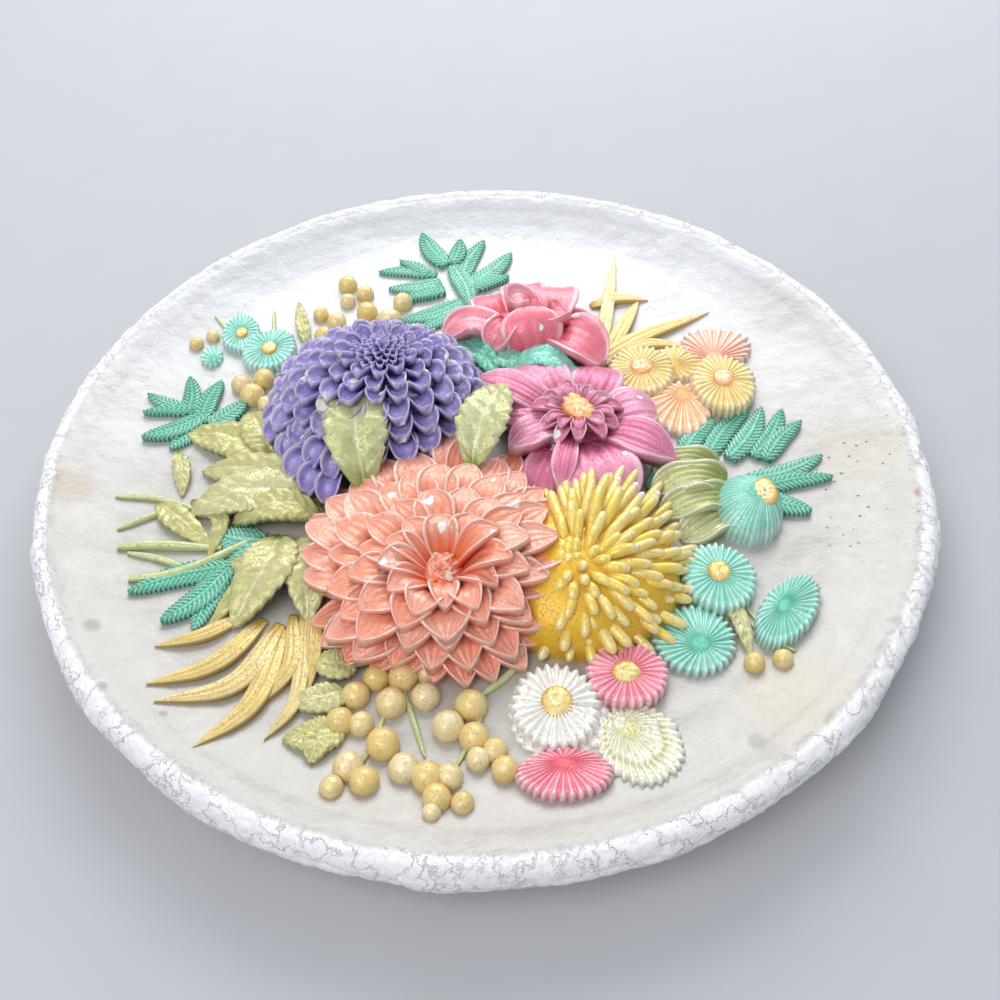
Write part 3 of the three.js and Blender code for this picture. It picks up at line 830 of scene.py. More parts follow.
# Broad petals of the magenta flower: base, middle and tip places, half width, how round the end is.
MAGENTA_PETALS = [
    ((34, 2, 19), (27, -14, 25), (21, -30, 15), 11.5, 0.6),
    ((31, 10, 22), (20, 14, 30), (7, 15, 22), 8.5, 0.75),
    ((35, 15, 22), (27, 33, 31), (23, 47.5, 22), 12.5, 0.42),
    ((43, 15, 22), (50, 29, 31), (54, 41.5, 22), 11.0, 0.45),
    ((32, 14, 23), (18, 26, 32), (-0.5, 35, 26), 8.8, 0.9),
    ((48, 6, 23), (61, 14, 32), (73, 13.5, 23), 11.5, 0.5),
    ((47, 3, 24), (62, -2, 33), (77, -13, 23), 9.5, 0.85),
    ((41, -1, 22), (46, -18, 30), (48, -36, 21), 16.5, 0.42),
    ((34, 4, 25), (24, 4, 33), (11, -5, 25), 8.0, 0.85),
    ((37, 0, 26), (32, -14, 33), (30, -28, 26), 5.2, 0.7),
]


def magenta_flower():
    """A broad-petalled flower with puffed, grooved petals and a collar of small curled ones."""
    bag = Bag()
    style = dict(cup=0.06, roll=0.35, widest=0.6, neck=0.42, grooves=6, depth=0.45, dome=0.2, fold=0.04,
                 rows=32, cols=35, wave=0.5, drop=7)
    for k, (base, mid, tip, half, sharp) in enumerate(MAGENTA_PETALS):
        base, mid, tip = (np.array(p, float) for p in (base, mid, tip))
        petal(bag, base, mid, tip, half, sharp=sharp, tone=(k * 0.37) % 1, **style)
    head = Head((39.5, 9), (39.5, 8), 18, 0.92, seed=37)
    style = dict(cup=0.4, roll=0.4, sharp=0.6, grooves=3, depth=0.35, rows=18, cols=15, drop=3, loose=1.6)
    head.ring(bag, 11, (6, 29), (12.5, 34.5), (18.5, 30), 3.2, phase=0.2, **style)
    head.ring(bag, 10, (5, 30), (9.5, 35.5), (14, 33), 2.6, phase=0.6, **style)
    # A hidden body under the petals, painted all in shade.
    cushion(bag, 39.5, 9, 18, 17, 17, 10, crest=0.0, deep=1.0)
    bag.chip([(30, -4, 1.6), (56, -13, 1.0), (66, 17, 0.9)], seed=4)
    return bag


def magenta_button():
    bag = Bag()
    cushion(bag, 39.5, 10, 29, 11.5, 6.4, 4.6, turn=125, rings=22, cols=84,
            stipple=0.42, grain=1.5, skirt=3)
    return bag


# Petals of the open rose: base, mid and tip places, half width, cup, and how round its end is.
ROSE_PETALS = [
    ((12, 68, 20), (7, 80, 33), (6.5, 91, 24), 10.0, 0.12, 0.42),
    ((22, 70, 22), (21.5, 85, 34), (22.5, 96.5, 25), 10.5, 0.12, 0.42),
    ((30, 62, 24), (34, 78, 38), (36.5, 91, 27), 12.5, 0.1, 0.45),
    ((33, 63, 22), (44, 69, 31), (56.5, 65, 22), 8.0, 0.2, 0.9),
    ((31, 62, 22), (43, 57, 35), (54, 45, 22), 12.0, 0.35, 0.55),
    ((14, 58, 21), (2, 74, 34), (-15, 65, 22), 8.5, 0.45, 0.75),
    ((24, 49, 17), (24, 52, 36), (24, 67, 37), 14.0, -0.12, 0.4),
    ((16, 68, 26), (12, 60, 36), (6, 54, 24), 7.5, 0.4, 0.6),
    ((26, 72, 27), (22, 78, 38), (16, 72, 35), 7.0, 0.5, 0.45),
    ((30, 66, 28), (34, 63, 38), (40, 66, 34), 6.5, 0.45, 0.5),
]


def rose():
    """An open rose of broad, wavy petals folded over one another."""
    bag = Bag()
    for k, (base, mid, tip, half, cup, sharp) in enumerate(ROSE_PETALS):
        base, mid, tip = (np.array(p, float) for p in (base, mid, tip))
        petal(bag, base, mid, tip, half, cup=cup, roll=0.7, sharp=sharp, widest=0.6, neck=0.45, grooves=5,
              depth=0.28, wave=0.9, dome=0.12, rows=32, cols=35, drop=7, tone=(k * 0.37) % 1)
    # A hidden body under the petals, painted all in shade.
    cushion(bag, 24, 72, 15, 26, 18, 13, crest=0.0, deep=1.0)
    bag.chip([(44, 66, 1.1), (6, 88, 0.9), (28, 56, 1.0)], seed=5)
    return bag


# ------------------------------------------------------------------ daisies and other small flowers


def daisy(bag, u, v, ru, rv, turn=0, eye=(0, 0), rise=5.0, edge=0.75, rays=26, depth=0.3, scallop=0.035,
          steps=(), rings=26, per_ray=6, lip=0.25, arch=1.6, seed=1):
    """A daisy head: a low disc of fine ribbed rays round its eye, with a crimped edge."""
    cols = rays * per_ray
    angles = np.linspace(0, 2 * math.pi, cols, endpoint=False)
    random = np.random.default_rng(seed)
    ray = np.repeat(random.uniform(-1, 1, rays), per_ray)
    wave = np.cos(rays * angles)
    reach = 1 + scallop * wave + 0.03 * ray
    outline = oval(ru, rv, turn, angles, reach) + (u, v)
    middle = np.array([u + eye[0], v + eye[1]], float)
    s = np.linspace(0.04, 1, rings)[:, None] ** 0.9
    rib = depth * wave * smooth(s, 0.12, 0.4)
    height = rise * (edge + (1 - edge) * (1 - s**2) ** (1 / arch)) + rib + lip * bell(s - 0.9, 0.06)
    height = height - 0.5 * smooth(s, 0.95, 1.0) + 0.12 * ray * smooth(s, 0.3, 0.6)
    # Painted highlight on the rays' ridges and towards the rim; painted shade round the eye and between the rays.
    crest = (0.4 + 0.45 * wave) * smooth(s, 0.15, 0.5) + 0.55 * smooth(s, 0.84, 0.95)
    deep = smooth(s, 0.4, 0.1) + 0.5 * (0.5 - 0.5 * wave) * smooth(s, 0.1, 0.3)
    for step in steps:
        edge_at = step + 0.03 * np.cos(rays * angles + math.pi) + 0.02 * ray
        above = smooth(edge_at - s, -0.03, 0.01)
        height = height + 0.7 * above
        # A painted highlight on top of each step's edge and painted shade at its foot.
        crest = crest + 0.6 * bell(s - edge_at + 0.04, 0.05)
        deep = deep + 0.6 * bell(s - edge_at - 0.05, 0.05)
    spots = middle + (outline - middle)[None] * s[:, :, None]
    height = height + ground(spots[..., 0], spots[..., 1])
    top = float(ground(*middle)) + rise
    polar(bag, middle, outline, height, s[:, 0], rise + 3, top, crest=np.clip(crest, 0, 1),
          deep=np.clip(deep, 0, 1), tone=np.clip(0.5 + 0.35 * ray, 0, 1)[None, :], across=wave[None, :])


# Each flower: its colour, and daisy()'s places and sizes.
YELLOW, ORANGE, PEACH, AQUA, WHITE = "yellow", "orange", "peach", "aqua", "white"
RED, PINK, CREAM = "red", "pink", "cream"
DAISIES = [
    (YELLOW, dict(u=88, v=49, ru=11, rv=10.5, rise=4, rays=20, eye=(-3, -3), edge=0.5)),
    (YELLOW, dict(u=71, v=43, ru=14, rv=14.5, rise=7, rays=30)),
    (PEACH, dict(u=106, v=57, ru=15, rv=11, turn=-18, rise=4, edge=0.6, rays=20, eye=(-3, -9.5),
                 scallop=0.06, depth=0.4)),
    (ORANGE, dict(u=84, v=21, ru=12.5, rv=15, rise=4.5, edge=0.6, rays=18, eye=(3, 8),
                  scallop=0.05, depth=0.4)),
    (YELLOW, dict(u=104, v=31, ru=13, rv=16.5, rise=8, rays=30)),
    (AQUA, dict(u=-107, v=77, ru=8.2, rv=11.3, rise=3.8, rays=24, depth=0.22)),
    (AQUA, dict(u=-93, v=66, ru=11, rv=13.2, turn=-25, rise=5, rays=28, depth=0.25)),
    (AQUA, dict(u=-118.5, v=63, ru=4.8, rv=6.2, rise=2.6, edge=0.5, rays=12, eye=(2, -4), depth=0.2)),
    (AQUA, dict(u=71, v=-92, ru=14, rv=14, rise=4, edge=0.5, rays=30, eye=(2, -4), scallop=0.05)),
    (AQUA, dict(u=84, v=-68, ru=12.8, rv=14.8, rise=7, rays=30)),
    (AQUA, dict(u=105, v=-84, ru=8.8, rv=17.2, turn=-38, rise=5.5, edge=0.55, rays=34, eye=(-2, 1), lip=0.4,
                arch=2.4)),
    (CREAM, dict(u=47, v=-131, ru=13.5, rv=15, turn=10, rise=2.4, edge=0.5, rays=30, eye=(-5, 7),
                 steps=(0.66,))),
    (WHITE, dict(u=22, v=-118, ru=16.5, rv=17.5, rise=1.6, edge=0.5, rays=24, depth=0.1, scallop=0.02)),
    (WHITE, dict(u=21, v=-117, ru=14.2, rv=15.6, rise=6.5, rays=26, depth=0.5, scallop=0.05)),
    (RED, dict(u=46, v=-106, ru=13.4, rv=12.3, rise=6.5, edge=0.8, rays=28)),
    (PINK, dict(u=22, v=-141, ru=14.8, rv=9, rise=4.6, edge=0.6, rays=30, eye=(0, 3.5), lip=0.4)),
]
# Buttons: colour, u, v, lift over the dish, half width, half height.
BUTTONS = [
    (ORANGE, 71, 43.5, 6.4, 5.0, 5.2), (ORANGE, 104, 32, 7.4, 4.6, 5.6), (YELLOW, 84, -67, 6.4, 4.4, 4.8),
    (YELLOW, 106.5, -35, 11.5, 4.6, 6.8), (YELLOW, 21.5, -116.5, 6.0, 5.4, 6.0),
    (YELLOW, 45.5, -106.5, 5.9, 5.0, 4.6), (YELLOW, -93, 65.5, 4.5, 3.8, 4.2),
    (YELLOW, -106.5, 76, 3.3, 2.8, 3.6), (CREAM, 41.5, -124, 2.2, 2.8, 2.8),
]


def daisies(colour):
    bag = Bag()
    for seed, (tint, plan) in enumerate(DAISIES):
        if tint == colour:
            daisy(bag, seed=seed + 1, **plan)
    return bag


def buttons(colour):
    bag = Bag()
    for seed, (tint, u, v, lift, ru, rv) in enumerate(BUTTONS):
        if tint == colour:
            base = float(ground(u, v)) + lift
            cushion(bag, u, v, base, ru, rv, 1.7, rings=14, cols=52, stipple=0.22, grain=1.0, seed=seed,
                    dimple=0.35, skirt=5)
    return bag


def globe():
    """A round aqua seed head seen from its side, finely ribbed round its open eye."""
    bag = Bag()
    daisy(bag, 101, -36, 13.2, 15.8, eye=(4.5, 1), rise=13, edge=0.1, rays=40, depth=0.12, scallop=0.0,
          rings=40, per_ray=5, lip=0, arch=2.0)
    return bag


# Lobes of the folded calyx beside the globe: places along each lobe and its half width.
CALYX = [
    ([(93, -13, 16), (82, -7, 26), (69, -15, 16)], 6.5),
    ([(96, -22, 17), (84, -20, 30), (66, -24, 17)], 7.5),
    ([(96, -36, 16), (86, -42, 26), (74, -47, 15)], 7.5),
    ([(97, -30, 17), (84, -32, 30), (67, -37, 17)], 7.0),
]


def calyx():
    bag = Bag()
    for k, (places, half) in enumerate(CALYX):
        base, mid, tip = (np.array(p, float) for p in places)
        petal(bag, base, mid, tip, half, cup=0.12, roll=0.4, sharp=0.55, grooves=5, depth=0.9,
              rows=30, cols=33, neck=0.8, drop=8, wave=1.6, tone=(k * 0.41) % 1)
    return bag


# ------------------------------------------------------------------ leaves, ferns and grass


def leaf(bag, places, half, rise, teeth=7, crinkle=0.5, drop=4.0, tone=0.5, free=False):
    """A toothed leaf with a midrib and side veins; places are (u, v) on the dish, or (u, v, t)."""
    rows, cols = 56, 29
    s = np.linspace(0, 1, rows)
    path = through([tuple(p) if free else (*p, 0) for p in places], rows)
    if not free:
        path[:, 2] = ground(path[:, 0], path[:, 1]) + rise * np.sin(math.pi * s) ** 0.8 + 0.8
    saw = (s * teeth) % 1.0
    width = half * petal_width(s, 0.42, 0.25, 0.75) * (1 + 0.13 * (saw - 0.5) * smooth(s, 0.1, 0.3))
    w = spread(cols)[None, :]
    a = np.abs(w)
    vein = bell(((s[:, None] * teeth - 1.1 * a) % 1.0) - 0.5, 0.14) * smooth(a, 0.05, 0.3)
    rib = bell(a, 0.09)
    hollow = width[:, None] * (0.08 * a**2 + 0.1 * np.sin(math.pi * a))
    lift = hollow + 0.55 * rib + 0.35 * vein
    spots = path[:, None, :2] + width[:, None, None] * w[..., None] * (0.7, 0.7)
    spots = np.concatenate([spots, 0 * lift[..., None]], -1)
    lift = lift + crinkle * (noise(spots, 4.2, int(half * 7)) + 0.6 * noise(spots, 1.9, 5))
    lift = lift - 0.5 * smooth(a, 0.9, 1.0)
    # Painted highlight on the midrib, veins and edge; painted shade beside the midrib and at the base.
    crest = np.clip(0.9 * rib + 0.55 * vein + 0.5 * smooth(a, 0.85, 1), 0, 1)
    deep = np.clip(0.35 * bell(a - 0.15, 0.08) + smooth(s[:, None], 0.2, 0.0), 0, 1)
    ribbon(bag, path, width, lift, drop, tone=tone, crest=crest, deep=deep)


# Broad pale leaves: places the midrib passes, half width, rise.
PALE_LEAVES = [
    ([(-84, 2), (-102, 12), (-123, 17)], 10, 3),
    ([(-84, 4), (-92, 16), (-98, 30)], 8, 5),
    ([(-64, -20), (-88, -8), (-113, -4)], 9.5, 6),
    ([(-64, -23), (-90, -19), (-115, -26)], 11.5, 7),
    ([(-62, -28), (-80, -28), (-98, -31)], 7.5, 9),
    ([(-78, -37), (-80, -58), (-91, -80)], 10.5, 9),
    ([(-74, -40), (-66, -56), (-64, -78)], 9.5, 8),
    ([(-96, -48), (-88, -58), (-99, -80)], 4.5, 4),
    ([(-128, -20), (-118, -30), (-104, -42)], 5.5, 2.5),
    ([(-125, 8), (-121, -4), (-119, -17)], 3.6, 2),
    ([(-115, -19), (-102, -30), (-104, -48)], 3.6, 3),
    ([(-45, -95), (-53, -97), (-61, -93)], 6.3, 4),
    ([(-48, -106), (-56, -110), (-67, -111)], 5.8, 3),
    ([(-48, -120), (-56, -124), (-68, -125)], 6.3, 2.5),
    ([(-52, -120), (-56, -126), (-58, -134)], 5.2, 2.5),
    ([(-77, 72), (-80, 84), (-83, 100)], 3.2, 2),
    ([(86, -76), (88, -86), (89, -100)], 3.2, 3),
]
# Leaves that climb over the flowers: places and half width.
CLIMBING_LEAVES = [
    ([(-45, -24, 25), (-48, -8, 37), (-49, 8, 40), (-52, 22, 38)], 12.5),
    ([(-4, -18, 28), (0, -4, 37), (5, 8, 39), (11, 22, 35)], 10.5),
]
GREEN_LEAVES = [
    ([(-10, 72, 17), (-4, 60, 24), (4, 48, 25), (8, 38, 21)], 6.5),
    ([(6, 44, 19), (14, 50, 25), (24, 56, 25)], 6.0),
    ([(6, 56, 20), (14, 47, 25), (22, 40, 22)], 5.5),
]
MINT_LEAF = [(14, 44, 24), (26, 46, 28), (34, 42, 28), (44, 36, 24)]

# Blades of grass: places and half width.
GOLD_GRASS = [
    ([(48, 50), (74, 67), (107, 80)], 4.0), ([(48, 48), (74, 62), (97, 59)], 3.0),
    ([(54, 54), (62, 90), (69, 124)], 3.2), ([(56, 54), (68, 76), (77, 93)], 3.6),
    ([(54, 91), (66, 94), (81, 92)], 3.4),
]
PALE_GRASS = [
    ([(-88, -74), (-100, -83), (-116, -88)], 2.8), ([(-80, -76), (-94, -95), (-115, -104.5)], 3.8),
    ([(-74, -78), (-86, -103), (-111, -111.5)], 4.2), ([(-73, -80), (-79, -110), (-95, -129)], 4.2),
    ([(-70, -74), (-69, -98), (-82, -115)], 3.0), ([(-66, -70), (-65, -108), (-74, -125)], 2.8),
    ([(-63, -66), (-61, -92), (-63, -111)], 3.0),
]


def grass(blades):
    """Long flat blades with a crease down their middle and raised edges."""
    bag = Bag()
    rows, cols = 52, 17
    s = np.linspace(0, 1, rows)
    w = spread(cols)[None, :]
    a = np.abs(w)
    for k, (places, half) in enumerate(blades):
        path = through([(u, v, 0) for u, v in places], rows)
        path[:, 2] = ground(path[:, 0], path[:, 1]) + 0.8 + 1.8 * np.sin(math.pi * s)
        width = half * petal_width(s, 0.35, 0.5, 1.0)
        lift = width[:, None] * (0.3 * (1 - a**2) - 0.16 * bell(w, 0.16) + 0.08 * bell(a - 0.86, 0.1))
        # Painted highlight on the raised edges; painted shade in the middle crease, at the base and along the outer
        # edge.
        crest = 0.7 * bell(a - 0.86, 0.12) + 0.35 * bell(a - 0.3, 0.15)
        deep = 0.6 * bell(w, 0.1) + smooth(s, 0.2, 0)[:, None] + 0.5 * smooth(a, 0.93, 1)
        ribbon(bag, path, width, lift, 4.0, crest=crest, deep=np.clip(deep, 0, 1), tone=(k * 0.37) % 1)
    return bag


# Fern leaflets: base, tip and half width.
FERN_LEAFLETS = [
    (-124, 28, -126, 50, 3.8), (-118, 24, -112, 48, 4.6), (-114, 22, -100, 36, 4.6),
    (-124, 31, -142, 38, 3.4), (-122, 30, -142, 27, 3.0), (-116, 27, -140, 13, 4.6),
    (-117, 20, -128, 8, 4.0), (-13, 124, -25, 145, 5.0), (-10, 124, -6, 140, 4.0),
    (-7, 112, 6, 140, 4.8), (-2, 110, 19, 130, 4.8), (-2, 106, 17, 113, 4.2),
    (-18, 118, -46, 120, 3.8), (-16, 112, -41, 108, 4.2), (-14, 106, -33, 100, 4.2),
    (-6, 98, -35, 86, 4.8), (-22, 118, -36, 127, 3.2), (-10, 122, -2, 92, 5.0),
    (-6, 92, -25, 79, 4.6), (82, -3, 98, 14, 4.6), (100, -8, 118, 18, 4.6), (92, -5, 113, 19, 4.6),
    (110, -8, 126, 16, 4.0), (114, -10, 132, 8, 3.8), (104, -20, 136, -11, 4.4),
    (108, -25, 137, -23, 3.8), (106, -26, 125, -39, 4.8), (80, -2, 65, -21, 5.6),
    (-96, -52, -130, -65, 5.0), (-96, -54, -116, -78, 5.0), (-96, -56, -104, -81, 4.6),
    (-84, -40, -104, -36, 6.0), (-84, -46, -96, -56, 6.0),
]


LOBE = 2.0  # spacing of a fern's small lobes


def ferns():
    """Flat fern leaflets with slanting raised lobes either side of a midrib."""
    bag = Bag()
    cols = 15
    w = spread(cols, 0.2)[None, :]
    a = np.abs(w)
    for k, (u0, v0, u1, v1, half) in enumerate(FERN_LEAFLETS):
        length = math.hypot(u1 - u0, v1 - v0)
        rows = 12 + 7 * round(length / LOBE)
        s = np.linspace(0, 1, rows)
        bow = 0.06 * length * (1 if k % 2 else -1)
        mid = ((u0 + u1) / 2 - bow * (v1 - v0) / length, (v0 + v1) / 2 + bow * (u1 - u0) / length, 0)
        path = through([(u0, v0, 0), mid, (u1, v1, 0)], rows)
        path[:, 2] = ground(path[:, 0], path[:, 1]) + 0.3 + 0.5 * (k % 3)
        width = 1.12 * half * petal_width(s, 0.35, 0.6, 0.6)
        lobe = 0.5 - 0.5 * np.cos(2 * math.pi * (s[:, None] * length - 0.85 * a * width[:, None]) / LOBE)
        edge_cut = 1 - 0.13 * (1 - lobe[:, -1])
        width = width * edge_cut
        lift = 0.9 + 0.8 * (1 - a**2) ** 0.7 + 0.5 * (lobe - 0.5) * smooth(a, 0.1, 0.25)
        lift = lift + 0.25 * bell(a, 0.07) - 0.3 * bell(a - 0.14, 0.06)
        # Painted highlight on the lobes and midrib; painted shade between the lobes and beside the midrib.
        crest = 0.85 * lobe * smooth(a, 0.1, 0.3) + 0.6 * bell(a, 0.06)
        deep = 0.95 * (1 - lobe) * smooth(a, 0.1, 0.25) + 0.6 * bell(a - 0.14, 0.07)
        ribbon(bag, path, width, lift, 4.0, crest=np.clip(crest, 0, 1), deep=np.clip(deep, 0, 1),
               tone=(k * 0.29) % 1)
    return bag


def leaves(table):
    bag = Bag()
    for k, (places, half, rise) in enumerate(table):
        leaf(bag, places, half, rise, teeth=6 + int(half / 2), tone=(k * 0.31) % 1)
    return bag


def climbing(table, teeth=8):
    """Leaves that rise over the flowers, so their places have heights of their own."""
    bag = Bag()
    for k, (places, half) in enumerate(table):
        leaf(bag, places, half, 0, teeth=teeth, crinkle=0.6, free=True, drop=3.0, tone=0.3 + 0.3 * k)
    return bag


# ------------------------------------------------------------------ beads and tubes by Geometry Nodes


def tree_input(tree, name, kind, value):
    socket = tree.interface.new_socket(name, in_out="INPUT", socket_type=kind)
    if value is not None:
        socket.default_value = value
    return socket


def new_tree(name):
    tree = bpy.data.node_groups.new(name, "GeometryNodeTree")
    tree_input(tree, "Geometry", "NodeSocketGeometry", None)
    tree.interface.new_socket("Geometry", in_out="OUTPUT", socket_type="NodeSocketGeometry")
    return tree


def add_node(tree, kind, links=None, **values):
    """Adds a node; links are {input: (node, output)} and values plain inputs by name."""
    node = tree.nodes.new(kind)
    for name, (source, output) in (links or {}).items():
        tree.links.new(source.outputs[output], node.inputs[name])
    for name, value in values.items():
        node.inputs[name.replace("_", " ")].default_value = value
    return node


def add_maths(tree, operation, *values):
    """Adds a Math node; each value is a number or a (node, output) pair."""
    node = tree.nodes.new("ShaderNodeMath")
    node.operation = operation
    for slot, value in zip(node.inputs, values):
        if isinstance(value, tuple):
            tree.links.new(value[0].outputs[value[1]], slot)
        else:
            slot.default_value = value
    return node


def named_field(tree, name):
    node = tree.nodes.new("GeometryNodeInputNamedAttribute")
    node.data_type = "FLOAT"
    node.inputs["Name"].default_value = name
    return node


def bead_tree():
    """A lumpy bead on every point, as large as the point's size says."""
    tree = new_tree("Berry beads")
    tree_input(tree, "Rings", "NodeSocketInt", 12)
    tree_input(tree, "Lumps", "NodeSocketFloat", 0.3)
    tree_input(tree, "Lump size", "NodeSocketFloat", 0.004)
    tree_input(tree, "Seed", "NodeSocketInt", 5)
    tree_input(tree, "Material", "NodeSocketMaterial", None)
    start = tree.nodes.new("NodeGroupInput")
    ball = add_node(tree, "GeometryNodeMeshUVSphere", {"Rings": (start, "Rings")}, Segments=20, Radius=1.0)
    smooth_ball = add_node(tree, "GeometryNodeSetShadeSmooth", {"Geometry": (ball, "Mesh")})
    size = named_field(tree, "size")
    copies = add_node(tree, "GeometryNodeInstanceOnPoints", {
        "Points": (start, "Geometry"), "Instance": (smooth_ball, "Geometry"), "Scale": (size, "Attribute")})
    real = add_node(tree, "GeometryNodeRealizeInstances", {"Geometry": (copies, "Instances")})
    grain = add_node(tree, "ShaderNodeTexNoise", Scale=260.0, Detail=1.0)
    grain.noise_dimensions = "4D"
    tree.links.new(start.outputs["Seed"], grain.inputs["W"])
    centred = add_maths(tree, "SUBTRACT", (grain, 0), 0.5)
    amount = add_maths(tree, "MULTIPLY", (centred, 0), (start, "Lumps"))
    depth = add_maths(tree, "MULTIPLY", (amount, 0), (start, "Lump size"))
    normal = tree.nodes.new("GeometryNodeInputNormal")
    push = tree.nodes.new("ShaderNodeVectorMath")
    push.operation = "SCALE"
    tree.links.new(normal.outputs["Normal"], push.inputs[0])
    tree.links.new(depth.outputs[0], push.inputs["Scale"])
    moved = add_node(tree, "GeometryNodeSetPosition", {"Geometry": (real, "Geometry"), "Offset": (push, 0)})
    close_tree(tree, start, moved)
    return tree


def close_tree(tree, start, last):
    """Ends a tree: paints what the last node gives and hands it out."""
    joined = {"Geometry": (last, "Geometry"), "Material": (start, "Material")}
    painted = add_node(tree, "GeometryNodeSetMaterial", joined)
    end = tree.nodes.new("NodeGroupOutput")
    tree.links.new(painted.outputs[0], end.inputs[0])


def tube_tree():
    """A closed tube along every chain of edges, as thick as its points say."""
    tree = new_tree("Quills and stems")
    tree_input(tree, "Sides", "NodeSocketInt", 10)
    tree_input(tree, "Thickness", "NodeSocketFloat", 1.0)
    tree_input(tree, "Material", "NodeSocketMaterial", None)
    start = tree.nodes.new("NodeGroupInput")
    curve = add_node(tree, "GeometryNodeMeshToCurve", {"Mesh": (start, "Geometry")})
    size = named_field(tree, "size")
    scaled = add_maths(tree, "MULTIPLY", (size, "Attribute"), (start, "Thickness"))
    thick = add_node(tree, "GeometryNodeSetCurveRadius", {"Curve": (curve, "Curve"), "Radius": (scaled, 0)})
    ring = add_node(tree, "GeometryNodeCurvePrimitiveCircle", {"Resolution": (start, "Sides")}, Radius=1.0)
    swept = add_node(tree, "GeometryNodeCurveToMesh", {"Curve": (thick, 0), "Profile Curve": (ring, "Curve")})
    swept.inputs["Fill Caps"].default_value = True
    if "Scale" in swept.inputs:
        tree.links.new(scaled.outputs[0], swept.inputs["Scale"])
    soft = add_node(tree, "GeometryNodeSetShadeSmooth", {"Geometry": (swept, "Mesh")})
    real = add_node(tree, "GeometryNodeRealizeInstances", {"Geometry": (soft, "Geometry")})
    close_tree(tree, start, real)
    return tree


def through_nodes(name, points, edges, fields, tree, settings):
    """Runs points and edges through a tree and keeps the result as a plain mesh object."""
    mesh = bpy.data.meshes.new(name + "_guide")
    mesh.from_pydata([Vector(p) for p in place(points)], edges, [])
    for field, values in fields.items():
        layer = mesh.attributes.new(field, "FLOAT", "POINT")
        layer.data.foreach_set("value", np.asarray(values, np.float32))
    guide = bpy.data.objects.new(name + "_guide", mesh)
    bpy.context.scene.collection.objects.link(guide)
    modifier = guide.modifiers.new("Make", "NODES")
    modifier.node_group = tree
    for item in tree.interface.items_tree:
        if item.item_type == "SOCKET" and item.in_out == "INPUT" and item.name in settings:
            modifier[item.identifier] = settings[item.name]
    bpy.context.view_layer.update()
    evaluated = guide.evaluated_get(bpy.context.evaluated_depsgraph_get())
    made = bpy.data.meshes.new_from_object(evaluated)
    made.name = name
    guide.modifiers.remove(modifier)
    bpy.data.objects.remove(guide)
    piece = bpy.data.objects.new(name, made)
    bpy.context.scene.collection.objects.link(piece)
    return piece


# Berries: u, v, radius.
BERRIES = [
    (-60.5, 111, 4.6), (-52, 105, 4.2), (-60, 100, 3.8), (-50.5, 92, 5), (-34, 98, 4.8),
    (-40, 86, 5.8), (-72, 91, 3.8), (-64.5, 86, 4.6), (-69.5, 76, 4.8), (-64, 70, 4.4),
    (-73, 65, 4.2), (-53, 77, 5), (-43, 77, 4.4), (-28, 77, 4.6), (-2, 75, 4.6),
    (-103.5, 46, 4.4), (-94, 49, 4.8), (-98, 39, 5.4), (-91.5, 34, 4),
    (-126, 70, 3.2), (-119.5, 75.5, 3),
    (-39, -102, 4.6), (-29.8, -102, 5.2), (-21.5, -100.5, 3.8), (-45.5, -108.5, 4.8),
    (-33.5, -112, 5.4), (-22, -110, 5), (-50, -118.5, 4.8), (-43, -119.5, 4.2),
    (-35.5, -127.5, 5.6), (-6.8, -114, 5.6), (-14.5, -121.5, 5.4), (-6, -126, 5),
    (0.5, -131, 4.2), (-5, -134, 4), (3.5, -138, 4.4), (-46, -135.5, 5), (-40.5, -141, 4.8),
    (-50.5, -143, 3.8), (-28.5, -136.5, 5), (-21, -140, 5.2), (-14, -140, 4.4),
    (-18, -147.5, 4.6), (-10, -149.5, 3.6), (-19.5, -152.3, 2.9),
    (89.5, -103.5, 3.6), (99, -103, 3.6),
]

# Stems and thin tufts: places and half thickness.
STEMS = [
    ([(-144, -18.5), (-128, -18.5), (-106, -26)], 1.5), ([(-140, -35), (-130, -28), (-120, -22)], 1.5),
    ([(-138, -44), (-124, -42), (-100, -43)], 2.2), ([(-134, -46), (-120, -49), (-106, -56)], 1.5),
    ([(-131, -59), (-112, -54), (-84, -36)], 2.2), ([(12, -96), (4, -104), (-4, -110)], 1.5),
    ([(-30, -105), (-26, -118), (-22, -132)], 1.1), ([(-34, -110), (-38, -124), (-42, -134)], 1.0),
    ([(-2, -112), (-6, -124), (-12, -136)], 1.1), ([(-55, 100), (-48, 92), (-40, 80)], 1.1),
    ([(-66, 88), (-60, 80), (-52, 72)], 1.1), ([(-110, 92), (-104, 78), (-98, 60)], 0.9),
    ([(-94, 94), (-93, 82), (-90, 68)], 0.9), ([(-120, 88), (-112, 78), (-104, 66)], 0.9),
    ([(88, -78), (89, -90), (89, -102)], 1.0), ([(92, -80), (97, -92), (99, -102)], 1.0),
    ([(104, -100), (96, -92), (90, -84)], 1.0),
]
MUM = Head((33, -67), (35, -62), 42, seed=41)
# How far the chrysanthemum's tips reach from its outline's middle, by angle in degrees.
MUM_REACH = [
    (-180, 20), (-150, 24), (-125, 36), (-110, 41), (-90, 40), (-70, 42), (-50, 43), (-30, 42),
    (-10, 43), (10, 44), (30, 46), (45, 50), (70, 53), (95, 42), (110, 42), (130, 24), (180, 20),
]
MUM_MIDDLE = vec(35, -62, 0)
MUM_ROOT = vec(33, -68, -3)
# Rows of quills: number, share of the reach, height of the tips, radius and height of the roots.
MUM_ROWS = [
    (31, 1.0, 19, 14, 21), (29, 0.9, 23, 13, 25), (26, 0.8, 27, 11, 29), (22, 0.69, 30.5, 9, 32),
    (18, 0.57, 33, 7, 33.5), (13, 0.44, 35, 5, 34), (8, 0.29, 36, 3, 34), (4, 0.13, 36.5, 1, 32),
]


